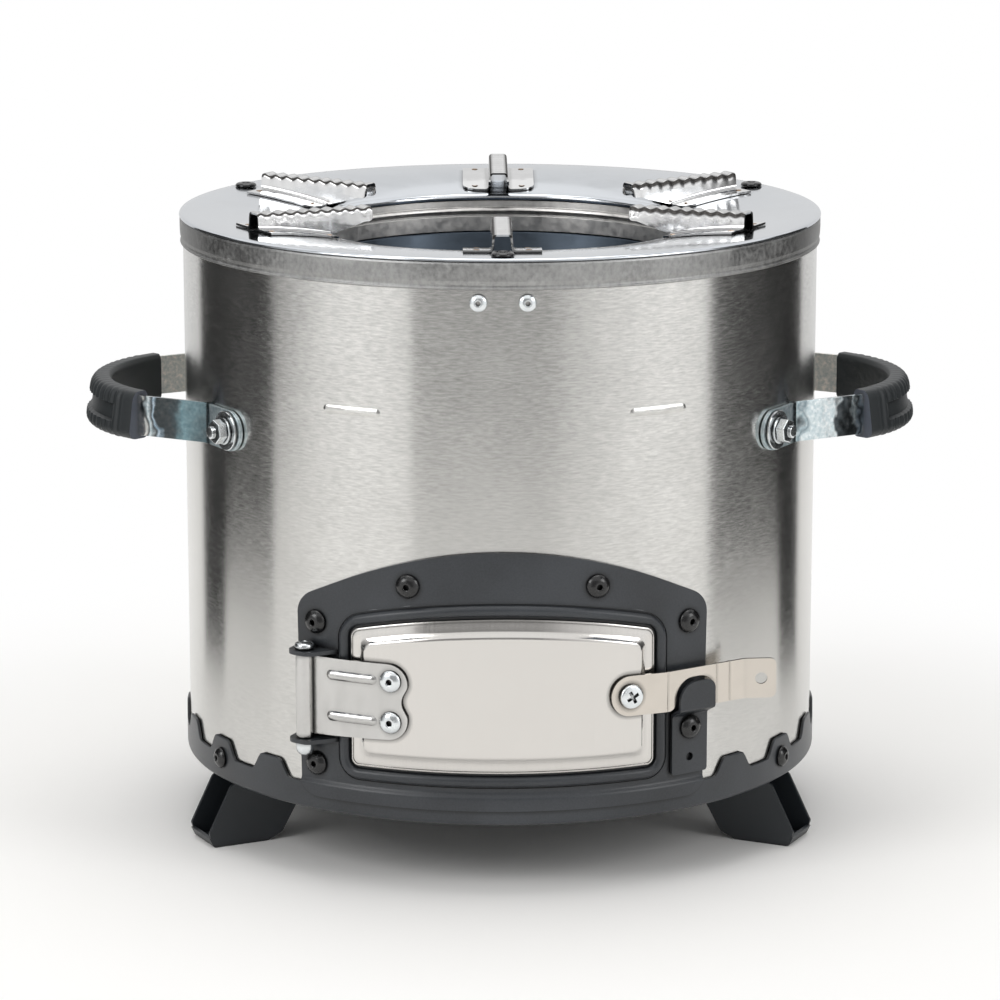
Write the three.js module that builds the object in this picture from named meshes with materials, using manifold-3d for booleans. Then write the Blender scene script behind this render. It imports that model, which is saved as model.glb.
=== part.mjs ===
// Charcoal stove: a round sheet-metal drum on three folded feet, with a dished top plate,
// six pot supports round a fire opening, two side handles and a hinged air door with a swing latch.
// Millimetres, +Z up, the door faces -Y, the origin is on the ground under the drum's axis.
import * as THREE from 'three';
import { mergeVertices } from 'three/addons/utils/BufferGeometryUtils.js';
import Module from 'manifold-3d';

const wasm = await Module();
wasm.setup();

const degree = Math.PI / 180;

// Driving dimensions of the drum and of what the pieces share
const bodyRadius = 148.25;
const bodySheet = 1.25;
const seatGap = 0.3;
const footHeight = 32;
const rimHeight = 288.4;
const rimOverhang = 1.75;
const rimRadius = bodyRadius + rimOverhang;
const mouthRadius = 88.4;
const cutOverrun = 12;
const drumFacets = 72;
const ringFacets = 60;

// Dished top plate and the pressed ring inside its mouth
const plateSheet = 1.2;
const plateShoulder = 1.3;
const plateEdgeDrop = 1.5;
const dishDepth = 6.35;
const dishSteps = 4;
const lipRoll = 1.7;
const lipDrop = 3;
const bandDrop = 12.1;
const bandTaper = 2.6;
const collarSheet = 1.2;
const collarDepth = 15;
const collarBead = 1.1;
const collarBeadHeight = 3.2;
const collarFlange = 7;

// Fire bowl and its loose grate
const linerSheet = 1.2;
const linerHeight = 91;
const bowlTaper = 18.4;
const linerFloorRadius = mouthRadius - bowlTaper;
const linerLedge = 14;
const grateClearance = 4;
const grateRadius = linerFloorRadius - grateClearance;
const grateThickness = 4.5;
const grateSlotWidth = 7;
const grateSlotPitch = 13;
const grateRimWidth = 11;
const grateLiftHole = 5;

// Base pan with its scalloped wall
const panSheet = 1.25;
const panWallHeight = 20.8;
const panValleyHeight = 12.3;
const panCorner = 2.4;
const lobeCount = 24;
const valleyHalfWidth = 6;
const lobeTopHalfWidth = 6.2;
const lobeShoulder = 1.6;

// Door frame, pressed from one plate
const frameSheet = 1.3;
const frameHalfWidth = 92.1;
const frameFootHalfWidth = 90.6;
const frameFootHeight = 39.3;
const frameShoulderHeight = 130.6;
const frameSlopeCrossing = 177.6;
const frameArchRadius = 165;
const frameShoulderRadius = 12;
const frameFootRadius = 9;
const frameStepRise = 3;
const frameLip = 7.5;
const beadRadius = 2.8;
const beadSteps = 48;
const beadSides = 8;

// Pressed air door; widths are measured round the drum
const doorSheet = 1.05;
const doorHalfWidth = 69;
const doorBottom = 56.6;
const doorTop = 127.4;
const doorArchRadius = 290;
const doorCorner = 3.2;
const doorFlange = 4.6;
const doorSlope = 2.8;
const doorRaise = 2.2;
const doorFrameGap = 1.1;
const doorStations = 18;
const cornerSteps = 4;

// Hinge: two ears on the frame, a rolled barrel and strap on the door, one long screw
const hingeRound = 89.6;
const hingeAngle = -hingeRound / bodyRadius / degree;
const hingePinRadius = 2;
const hingeStandOff = 6.2;
const barrelRadius = 4;
const barrelBottom = 68.2;
const barrelTop = 106.6;
const earSheet = 1.8;
const earRadius = 6.2;
const earGussetLeft = 8;
const earGussetRight = 16;
const hingeHeadRadius = 4.4;
const hingeHeadHeight = 3;
const hingeNutRadius = 4.3;
const hingeNutHeight = 6.4;
const strapSheet = 1.2;
const strapTop = 106;
const strapBottom = 71.6;
const strapReach = 50.6;
const strapWaist = 4;
const strapCorner = 9;
const strapRivetInset = 7.9;
const strapRivetSpread = 18.9;
const ribWidth = 4.4;
const ribRaise = 1.1;
const ribInset = 9;

// Swing latch on the door, and its catch on the frame
const latchRound = 55.8;
const latchAngle = latchRound / bodyRadius / degree;
const latchHeight = 90.6;
const latchSheet = 1.3;
const latchWidth = 18.6;
const latchFlat = 18.4;
const latchWrapReach = 51.5;
const latchWrapDrop = 7;
const latchKneeReach = 60.2;
const latchKneeDrop = 8.8;
const latchTipReach = 74;
const latchTipDrop = 4.6;
const latchTipRadius = 3;
const latchTipHoleInset = 6.6;
const latchTipHoleRadius = 2.7;
const latchPivotRadius = 2;
const latchHeadRadius = 5.4;
const latchHeadHeight = 2.6;
const latchNutRadius = 4.6;
const latchNutHeight = 3.2;
const catchRound = 87.5;
const catchAngle = catchRound / bodyRadius / degree;
const catchWidth = 19.5;
const catchSheet = 1.5;
const catchBottom = 49.9;
const catchBend = 79.2;
const catchBendRise = 1.8;
const catchTabTop = 94;
const catchStandOff = 6.1;
const catchTabRadius = 7;
const catchHoleHeight = 57.5;
const catchHoleRadius = 1.6;
const notchSideClearance = 1.2;
const notchTopClearance = 1.8;
const notchArchRadius = 9;
const notchMouthRadius = 4;

// Rivets, screws and bolts
const rivetFacets = 10;
const frameRivetHead = 5.5;
const frameRivetHeight = 2.9;
const frameRivetShank = 1.9;
const strapRivetHead = 4.8;
const strapRivetHeight = 2.2;
const strapRivetShank = 1.6;
const bodyRivetHead = 3.9;
const bodyRivetHeight = 1.6;
const bodyRivetShank = 1.5;
const rivetTailLength = 1.4;
const topRivetDrop = 36.6;
const topRivetHeight = frameSlopeCrossing - topRivetDrop;
const topRivetRound = 42.2;
const topRivetAngle = topRivetRound / bodyRadius / degree;
const sideRivetDrop = 10.3;
const sideRivetHeight = frameShoulderHeight - sideRivetDrop;
const sideRivetRound = 87.7;
const sideRivetAngle = sideRivetRound / bodyRadius / degree;
const lowRivetHeight = 54.6;
const catchRivetHeight = 71.5;
const bodyRivetDrop = 19.7;
const bodyRivetLevel = rimHeight - bodyRivetDrop;
const bodyRivetRound = 10.75;
const bodyRivetAngle = bodyRivetRound / bodyRadius / degree;
const panScrewHead = 4.9;
const panScrewHeight = 2.6;
const panScrewShank = 1.9;
const panScrewRise = 11;
const footPitch = 120;
const plateBoltInset = 8.6;
const plateBoltCircle = rimRadius - plateBoltInset;
const plateBoltHead = 5.6;
const plateBoltHeight = 4;
const plateBoltShank = 2.4;
const plateBoltLength = 9;

// Feet, folded from sheet into channels that open outward
const footAngle = 64;
const footWidth = 23;
const footSheet = 1.5;
const footTopInset = 5.25;
const footToeOverhang = 8.25;
const footToeHeight = 7;
const footToeLean = 2.5;
const footSoleLength = 27;
const footKneeRun = 7.4;
const footKneeHeight = 3.6;
const footBackInset = 45.25;
const footTopReach = bodyRadius - footTopInset;
const footToeReach = bodyRadius + footToeOverhang;
const footSoleReach = footToeReach - footToeLean;
const footHeelReach = footSoleReach - footSoleLength;
const footKneeReach = footHeelReach - footKneeRun;
const footBackReach = bodyRadius - footBackInset;
const footLip = 4.5;
const footScrewInset = 21;
const footScrewReach = footBackReach + footScrewInset;
const footScrewShank = 2.4;
const footScrewHead = 4.8;
const footScrewHeadHeight = 3;
const footScrewLength = 7;

// Pot supports: hat sections of bright sheet
const supportCount = 6;
const supportSheet = 1;
const supportRise = 8.1;
const supportWidth = 9.9;
const supportOverhang = 17.7;
const supportRimInset = 20.5;
const supportTop = rimHeight + supportRise;
const supportInner = mouthRadius - supportOverhang;
const supportOuter = rimRadius - supportRimInset;
const supportNose = 8.2;
const supportNoseRun = 23;
const supportNoseRadius = 4;
const supportFlange = 12.8;
const supportFlangeSetback = 4;
const supportFlangeInner = mouthRadius + supportFlangeSetback;
const supportTilt = 1.2;
const supportToothHeight = 0.8;
const supportToothInset = 8.3;
const supportToothPitch = 6.2;
const supportToothStart = supportInner + supportToothInset;
const supportToothCount = Math.floor((supportOuter - supportToothStart) / supportToothPitch);

// Side handles: zinc strip loops with moulded grips
const handleLevel = 199.5;
const handleStripHeight = 18.6;
const handleStripSheet = 2;
const handleBoltRound = 88.7;
const handlePadRound = 99;
const handleBendRound = 70;
const handleBoltAngle = handleBoltRound / bodyRadius / degree;
const handlePadStart = handlePadRound / bodyRadius / degree;
const handleBendAngle = handleBendRound / bodyRadius / degree;
const gripRadius = 66.7;
const gripHalfLength = 49.5;
const gripStandOff = 41.25;
const gripReach = bodyRadius + gripStandOff;
const gripThickness = 13;
const gripHeight = 22.5;
const gripRound = 3;
const gripEndLength = 6;
const gripWindowDepth = 1.2;
const gripWindowHeight = 7.2;
const gripWindowInset = 15;
const gripSteps = 14;
const gripRibCount = 22;
const gripRibHeight = 0.7;
const handleNutFlat = 10;
const handleNutRadius = handleNutFlat / Math.sqrt(3);
const handleNutHeight = 5;
const handleThreadEnd = 2.5;
const handleBoltShank = 2.9;
const handleBoltLength = 5;
const handleWasherRadius = 9;
const handleWasherSheet = 1.4;

// Derived places that several pieces share
const shellInner = bodyRadius - bodySheet;
const panFloorTop = footHeight + panSheet;
const panWallInner = bodyRadius + seatGap;
const panWallOuter = panWallInner + panSheet;
const panTop = footHeight + panWallHeight;
const panValleyTop = footHeight + panValleyHeight;
const frameInner = bodyRadius + seatGap;
const frameOuter = frameInner + frameSheet;
const doorInner = frameOuter + seatGap;
const doorOuter = doorInner + doorSheet;
const panelOuter = doorOuter + doorRaise;
const panelInner = panelOuter - doorSheet;
const strapInner = panelOuter + seatGap;
const strapOuter = strapInner + strapSheet;
const hingeRadius = frameOuter + hingeStandOff;
const doorHalfAngle = doorHalfWidth / bodyRadius;
const beadPathRadius = frameInner + frameSheet / 2;
const mouthDishRadius = mouthRadius + lipRoll;
const collarTop = rimHeight - dishDepth - lipDrop - seatGap;
const collarBottom = collarTop - collarDepth;
const linerTop = collarBottom - seatGap;
const linerFloor = linerTop - linerHeight;
const handleNutBase = panWallInner + handleStripSheet + seatGap + handleWasherSheet + seatGap;
const strapMiddle = (strapTop + strapBottom) / 2;

// A closed geometry becomes a solid once its shared corners are merged and its faces point out.
function solidOf(geometry) {
  geometry.deleteAttribute('normal');
  geometry.deleteAttribute('uv');
  const merged = mergeVertices(geometry);
  const position = merged.getAttribute('position');
  const corner = (index) => new THREE.Vector3().fromBufferAttribute(position, index);
  const triangles = [];
  let volume = 0;
  for (let start = 0; start < merged.index.count; start += 3) {
    const [a, b, c] = [0, 1, 2].map((step) => merged.index.getX(start + step));
    if (a === b || b === c || c === a) continue;
    triangles.push([a, b, c]);
    volume += corner(a).dot(corner(b).cross(corner(c)));
  }
  if (volume < 0) triangles.forEach((triangle) => triangle.reverse());
  return new wasm.Manifold(new wasm.Mesh({
    numProp: 3,
    vertProperties: new Float32Array(position.array),
    triVerts: new Uint32Array(triangles.flat()),
  }));
}

function geometryOf(solid) {
  const mesh = solid.getMesh();
  const geometry = new THREE.BufferGeometry();
  geometry.setAttribute('position', new THREE.BufferAttribute(mesh.vertProperties, mesh.numProp));
  geometry.setIndex(new THREE.BufferAttribute(mesh.triVerts, 1));
  const flat = geometry.toNonIndexed();
  flat.computeVertexNormals();
  return flat;
}

const joined = (solids) => solids.reduce((whole, solid) => whole.add(solid));
const carved = (solid, cutters) => (cutters.length ? solid.subtract(joined(cutters)) : solid);

// A direction round the drum: zero degrees is the front, positive turns towards +X.
function outward(angle, radius = 1, height = 0) {
  return new THREE.Vector3(radius * Math.sin(angle * degree), -radius * Math.cos(angle * degree), height);
}

// A local frame on the drum: its X runs round towards +angle, its Y up and its Z outward.
function wallFrame(angle, radius, height) {
  const out = outward(angle);
  const up = new THREE.Vector3(0, 0, 1);
  const round = new THREE.Vector3().crossVectors(up, out);
  return new THREE.Matrix4().makeBasis(round, up, out).setPosition(outward(angle, radius, height));
}

// A ring about the drum's axis from a closed profile of [radius, height] corners.
function ring(profile, facets) {
  const points = profile.map(([radius, height]) => new THREE.Vector2(radius, height));
  const closed = profile[0][0] === 0 ? points : [...points, points[0].clone()];
  return solidOf(new THREE.LatheGeometry(closed, facets).rotateX(Math.PI / 2));
}

// A turned piece on a wall frame, from [radius, distance out] corners that start and end on its axis.
function turned(profile, frame, facets = rivetFacets) {
  const points = profile.map(([radius, out]) => new THREE.Vector2(radius, out));
  const geometry = new THREE.LatheGeometry(points, facets).rotateX(Math.PI / 2);
  return solidOf(geometry.applyMatrix4(frame));
}

// A plain round hole cutter along a wall frame's outward axis.
function drill(radius, from, to, frame, facets = 10) {
  return turned([[0, from], [radius, from], [radius, to], [0, to]], frame, facets);
}

function prism(shape, depth, frame, options = {}) {
  const settings = { depth, bevelEnabled: false, curveSegments: 4, ...options };
  return solidOf(new THREE.ExtrudeGeometry(shape, settings).applyMatrix4(frame));
}

// A closed outline whose corners [x, y, radius] are each rounded by their own radius.
function roundedOutline(corners) {
  const shape = new THREE.Shape();
  corners.forEach(([x, y, radius = 0], index) => {
    const corner = new THREE.Vector2(x, y);
    const before = new THREE.Vector2(...corners.at(index - 1).slice(0, 2));
    const after = new THREE.Vector2(...corners[(index + 1) % corners.length].slice(0, 2));
    const into = corner.clone().sub(before).normalize();
    const onward = after.sub(corner).normalize();
    const turn = Math.sign(into.cross(onward));
    const reach = radius * Math.tan(Math.abs(Math.acos(THREE.MathUtils.clamp(into.dot(onward), -1, 1))) / 2);
    const start = corner.clone().addScaledVector(into, -reach);
    const end = corner.clone().addScaledVector(onward, reach);
    if (radius === 0) {
      if (index === 0) shape.moveTo(x, y);
      else shape.lineTo(x, y);
      return;
    }
    const centre = start.clone().add(new THREE.Vector2(-into.y, into.x).multiplyScalar(turn * radius));
    const startAngle = Math.atan2(start.y - centre.y, start.x - centre.x);
    const endAngle = Math.atan2(end.y - centre.y, end.x - centre.x);
    if (index === 0) shape.moveTo(start.x, start.y);
    else shape.lineTo(start.x, start.y);
    shape.absarc(centre.x, centre.y, radius, startAngle, endAngle, turn < 0);
  });
  return shape;
}

function circleOutline(x, y, radius) {
  return new THREE.Shape().absarc(x, y, radius, 0, 2 * Math.PI, false);
}

// A thin outline that follows a polyline of [x, y] points, offset to both sides of it.
function ribbonOutline(points, inner, outer) {
  const path = points.map(([x, y]) => new THREE.Vector2(x, y));
  const offset = (distance) => path.map((point, index) => {
    const before = path[Math.max(index - 1, 0)];
    const after = path[Math.min(index + 1, path.length - 1)];
    const into = (index ? point.clone().sub(before) : after.clone().sub(point)).normalize();
    const onward = (index < path.length - 1 ? after.clone().sub(point) : point.clone().sub(before)).normalize();
    const middle = into.add(onward).normalize();
    const stretch = 1 / Math.sqrt(Math.max(1 - middle.cross(onward) ** 2, 1e-6));
    return point.clone().add(new THREE.Vector2(-middle.y, middle.x).multiplyScalar(distance * stretch));
  });
  return new THREE.Shape([...offset(inner), ...offset(outer).reverse()]);
}

// The front of a ring inside an outline seen from the front, [x, height] corners.
const frontFrame = new THREE.Matrix4().makeBasis(
  new THREE.Vector3(1, 0, 0), new THREE.Vector3(0, 0, 1), new THREE.Vector3(0, -1, 0),
);
const frontPrism = (shape, options) => prism(shape, rimRadius + cutOverrun, frontFrame, options);

const materials = {
  stainless: { color: 0xc9c7c3, roughness: 0.35, metalness: 1 },
  galvanised: { color: 0x9aa0a3, roughness: 0.5, metalness: 0.9 },
  bright: { color: 0xdedede, roughness: 0.18, metalness: 1 },
  nickel: { color: 0xd9cdbd, roughness: 0.3, metalness: 0.9 },
  zinc: { color: 0xb4bcc0, roughness: 0.38, metalness: 0.9 },
  powder: { color: 0x464a4f, roughness: 0.55, metalness: 0.1 },
  blackSheet: { color: 0x1f2327, roughness: 0.5, metalness: 0.1 },
  blackRivet: { color: 0x17191b, roughness: 0.25, metalness: 0.4 },
  heatBlued: { color: 0x4a5058, roughness: 0.5, metalness: 0.8 },
  castIron: { color: 0x2c2d2e, roughness: 0.8, metalness: 0.5 },
  moulded: { color: 0x232526, roughness: 0.55, metalness: 0 },
};

const stove = new THREE.Group();
function addPiece(name, solid, finish) {
  const mesh = new THREE.Mesh(geometryOf(solid), new THREE.MeshStandardMaterial(materials[finish]));
  mesh.name = name;
  stove.add(mesh);
}

// Height of the dished plate's upper face at a radius: a parabola that falls towards the mouth.
function dishHeight(radius) {
  const run = (rimRadius - plateShoulder - radius) / (rimRadius - plateShoulder - mouthDishRadius);
  return rimHeight - dishDepth * run * run;
}

function dishCurve(from, to, lift) {
  return Array.from({ length: dishSteps + 1 }, (_, step) => {
    const radius = from + (to - from) * (step / dishSteps);
    return [radius, dishHeight(radius) + lift];
  });
}

// Places of the fasteners that pass through the drum
const frameRivets = [
  ['frame_rivet_top_left', -topRivetAngle, topRivetHeight],
  ['frame_rivet_top_right', topRivetAngle, topRivetHeight],
  ['frame_rivet_side_left', -sideRivetAngle, sideRivetHeight],
  ['frame_rivet_side_right', sideRivetAngle, sideRivetHeight],
  ['frame_rivet_low_left', -sideRivetAngle, lowRivetHeight],
];
const panScrews = [
  ['pan_screw_left', -footPitch / 2],
  ['pan_screw_right', footPitch / 2],
  ['pan_screw_back', footPitch * 1.5],
];
const panScrewLevel = footHeight + panScrewRise;
const handleBoltAngles = [
  ['right_front', 90 - handleBoltAngle], ['right_rear', 90 + handleBoltAngle],
  ['left_front', -90 + handleBoltAngle], ['left_rear', -90 - handleBoltAngle],
];

// The opening in the frame, drawn from the front inside the line of the door's edge.
function doorwayOutline(grow) {
  const side = bodyRadius * Math.sin(doorHalfAngle) - frameLip + grow;
  const bottom = doorBottom + frameLip - grow;
  const top = doorTop - frameLip + grow;
  const sag = doorArchRadius - Math.sqrt(doorArchRadius ** 2 - side ** 2);
  return roundedOutline([
    [-side, bottom, doorCorner], [side, bottom, doorCorner], [side, top - sag, doorCorner],
    [0, top + sag, doorArchRadius / 2], [-side, top - sag, doorCorner],
  ]);
}

function makeShell() {
  const top = rimHeight - plateEdgeDrop - plateSheet - seatGap;
  const bottom = panFloorTop + seatGap;
  const wall = ring([
    [shellInner, bottom], [bodyRadius, bottom], [bodyRadius, top], [shellInner, top],
  ], drumFacets);
  const hole = (angle, height, radius) => drill(
    radius + seatGap, -cutOverrun, cutOverrun, wallFrame(angle, bodyRadius, height),
  );
  const catchHole = hole(catchAngle, catchRivetHeight, frameRivetShank);
  const cutters = [
    frontPrism(doorwayOutline(frameLip / 2)),
    ...frameRivets.map(([, angle, height]) => hole(angle, height, frameRivetShank)),
    catchHole,
    ...[-bodyRivetAngle, bodyRivetAngle].map((angle) => hole(angle, bodyRivetLevel, bodyRivetShank)),
    ...panScrews.map(([, angle]) => hole(angle, panScrewLevel, panScrewShank)),
    ...handleBoltAngles.map(([, angle]) => hole(angle, handleLevel, handleBoltShank)),
  ];
  addPiece('outer_shell', carved(wall, cutters), 'stainless');
}

function makeTop() {
  const edgeTop = rimHeight - plateEdgeDrop;
  const shoulder = rimRadius - plateShoulder;
  const plate = ring([
    [rimRadius, edgeTop - plateSheet], [rimRadius, edgeTop + plateEdgeDrop / 2],
    ...dishCurve(shoulder, mouthDishRadius, 0),
    [mouthRadius, rimHeight - dishDepth - lipRoll / 2],
    [mouthRadius, rimHeight - dishDepth - lipDrop],
    [mouthRadius + plateSheet, rimHeight - dishDepth - lipDrop],
    [mouthDishRadius, dishHeight(mouthDishRadius) - plateSheet],
    ...dishCurve(mouthDishRadius, shoulder, -plateSheet).slice(1, -1),
    [shoulder - plateSheet, edgeTop - plateSheet],
  ], ringFacets);
  const boltHoles = [0, 1, 2].map((turn) => {
    const angle = turn * footPitch;
    return drill(plateBoltShank + seatGap, -cutOverrun, cutOverrun, topFrame(angle, plateBoltCircle));
  });
  addPiece('top_plate', carved(plate, boltHoles), 'bright');

  const bandTop = edgeTop - plateSheet - seatGap;
  addPiece('rim_band', ring([
    [panWallInner, bandTop - bandDrop], [panWallInner + seatGap, bandTop - bandDrop],
    [rimRadius, bandTop - bandDrop + bandTaper], [rimRadius, bandTop], [panWallInner, bandTop],
  ], drumFacets), 'galvanised');

  const wallRadius = mouthRadius + seatGap;
  addPiece('inner_collar', ring([
    [wallRadius + collarSheet, collarTop], [wallRadius, collarTop],
    [wallRadius - collarBead, collarTop - collarBead],
    [wallRadius - collarBead, collarTop - collarBeadHeight + collarBead],
    [wallRadius, collarTop - collarBeadHeight],
    [wallRadius, collarBottom], [wallRadius + collarFlange, collarBottom],
    [wallRadius + collarFlange, collarBottom + collarSheet],
    [wallRadius + collarSheet, collarBottom + collarSheet],
  ], ringFacets), 'stainless');
}

// A frame on the top plate: X round the drum, Y towards its axis and Z up.
function topFrame(angle, radius) {
  const inward = outward(angle).negate();
  const up = new THREE.Vector3(0, 0, 1);
  const round = new THREE.Vector3().crossVectors(inward, up);
  const place = outward(angle, radius, dishHeight(radius) + seatGap);
  return new THREE.Matrix4().makeBasis(round, inward, up).setPosition(place);
}

function makeFireBowl() {
  const flangeRadius = mouthRadius + seatGap + collarFlange;
  addPiece('chamber_liner', ring([
    [mouthRadius, linerTop], [flangeRadius, linerTop], [flangeRadius, linerTop - linerSheet],
    [mouthRadius + linerSheet, linerTop - linerSheet],
    [linerFloorRadius + linerSheet, linerFloor], [linerFloorRadius - linerLedge, linerFloor],
    [linerFloorRadius - linerLedge, linerFloor + linerSheet],
    [linerFloorRadius, linerFloor + linerSheet],
  ], ringFacets), 'heatBlued');

  const outline = circleOutline(0, 0, grateRadius);
  const barRadius = grateRadius - grateRimWidth;
  const slotRows = Math.floor((barRadius - grateSlotWidth) / grateSlotPitch);
  for (let row = -slotRows; row <= slotRows; row += 1) {
    const across = row * grateSlotPitch;
    const edge = Math.abs(across) + grateSlotWidth / 2;
    const half = Math.sqrt(barRadius ** 2 - edge ** 2);
    const radius = grateSlotWidth / 2;
    const start = row === 0 ? grateLiftHole + grateSlotWidth : 0;
    const spans = row === 0 ? [[-half, -start], [start, half]] : [[-half, half]];
    spans.forEach(([left, right]) => {
      const slot = new THREE.Path();
      slot.absarc(right - radius, across, radius, -Math.PI / 2, Math.PI / 2, false);
      slot.absarc(left + radius, across, radius, Math.PI / 2, Math.PI * 1.5, false);
      outline.holes.push(slot);
    });
  }
  outline.holes.push(new THREE.Path().absarc(0, 0, grateLiftHole, 0, 2 * Math.PI, false));
  const seat = new THREE.Matrix4().makeTranslation(0, 0, linerFloor + linerSheet + seatGap);
  addPiece('charcoal_grate', prism(outline, grateThickness, seat, { curveSegments: 3 }), 'castIron');
}

function makeBasePan() {
  const profile = [
    [0, footHeight], [panWallOuter - panCorner, footHeight],
    [panWallOuter - panCorner / 3, footHeight + panCorner / 3], [panWallOuter, footHeight + panCorner],
    [panWallOuter, panTop], [panWallInner, panTop], [panWallInner, panFloorTop], [0, panFloorTop],
  ];
  const wallRise = panTop - panValleyTop;
  const valleyTopHalf = Math.PI * panWallOuter / lobeCount - lobeTopHalfWidth;
  const valley = new THREE.Shape([
    [-valleyHalfWidth, 0], [valleyHalfWidth, 0],
    [valleyTopHalf - lobeShoulder, wallRise - lobeShoulder], [valleyTopHalf + lobeShoulder, wallRise + seatGap],
    [-valleyTopHalf - lobeShoulder, wallRise + seatGap], [-valleyTopHalf + lobeShoulder, wallRise - lobeShoulder],
  ].map(([x, y]) => new THREE.Vector2(x, y)));
  const pitch = 360 / lobeCount;
  const hiddenAngle = Math.asin(frameHalfWidth / bodyRadius) / degree;
  const valleys = Array.from({ length: lobeCount }, (_, index) => (index + 1 / 2) * pitch)
    .filter((angle) => angle > hiddenAngle && angle < 360 - hiddenAngle)
    .map((angle) => prism(valley, cutOverrun, wallFrame(angle, panWallInner - cutOverrun / 2, panValleyTop)));
  const hiddenSide = frameHalfWidth + seatGap;
  const behindFrame = new THREE.Shape([
    [-hiddenSide, panValleyTop], [hiddenSide, panValleyTop],
    [hiddenSide, panTop + cutOverrun], [-hiddenSide, panTop + cutOverrun],
  ].map(([x, y]) => new THREE.Vector2(x, y)));
  const screwHoles = panScrews.map(([, angle]) => drill(
    panScrewShank + seatGap, -cutOverrun, cutOverrun, wallFrame(angle, bodyRadius, panScrewLevel),
  ));
  const footHoles = footPlaces.map(([, angle]) => {
    const frame = new THREE.Matrix4().makeTranslation(outward(angle, footScrewReach, footHeight));
    return drill(footScrewShank + seatGap, -cutOverrun, cutOverrun, frame);
  });
  const pan = carved(ring(profile, drumFacets), [...valleys, frontPrism(behindFrame), ...screwHoles, ...footHoles]);
  addPiece('base_pan', pan, 'powder');
}

const footPlaces = [['left', -footAngle], ['right', footAngle], ['back', 180]];

// One foot: side plates, a sole with a turned-up toe, an inner web and a flange under the pan.
function makeFeet() {
  const flangeTop = footHeight - seatGap;
  const side = new THREE.Shape([
    [footTopReach, flangeTop], [footToeReach, footToeHeight], [footSoleReach, 0], [footHeelReach, 0],
    [footKneeReach, footKneeHeight], [footBackReach, flangeTop],
  ].map(([x, y]) => new THREE.Vector2(x, y)));
  const hollow = new THREE.Shape([
    [footToeReach + cutOverrun, footLip], [footSoleReach - footSheet, footLip],
    [footSoleReach - footSheet, footSheet], [footHeelReach + footSheet / 3, footSheet],
    [footKneeReach + footSheet, footKneeHeight + footSheet / 2],
    [footBackReach + footSheet * 1.2, flangeTop - footSheet], [footToeReach + cutOverrun, flangeTop - footSheet],
  ].map(([x, y]) => new THREE.Vector2(x, y)));
  footPlaces.forEach(([place, angle]) => {
    const out = outward(angle);
    const up = new THREE.Vector3(0, 0, 1);
    const across = new THREE.Vector3().crossVectors(out, up);
    const frame = (width) => new THREE.Matrix4().makeBasis(out, up, across)
      .setPosition(across.clone().multiplyScalar(-width / 2));
    const inner = footWidth - 2 * footSheet;
    const screwFrame = new THREE.Matrix4().makeTranslation(outward(angle, footScrewReach, 0));
    const screwHole = drill(footScrewShank + seatGap, footHeight - cutOverrun, footHeight + cutOverrun, screwFrame);
    const foot = carved(prism(side, footWidth, frame(footWidth)), [prism(hollow, inner, frame(inner)), screwHole]);
    addPiece(`foot_${place}`, foot, 'blackSheet');
    const headTop = flangeTop - footSheet - seatGap;
    const screwTop = headTop + footScrewLength;
    addPiece(`foot_screw_${place}`, turned([
      [0, headTop - footScrewHeadHeight], [footScrewHead * 0.7, headTop - footScrewHeadHeight],
      [footScrewHead, headTop - footScrewHeadHeight / 2], [footScrewHead, headTop],
      [footScrewShank, headTop], [footScrewShank, screwTop], [0, screwTop],
    ], screwFrame), 'zinc');
  });
}

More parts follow.
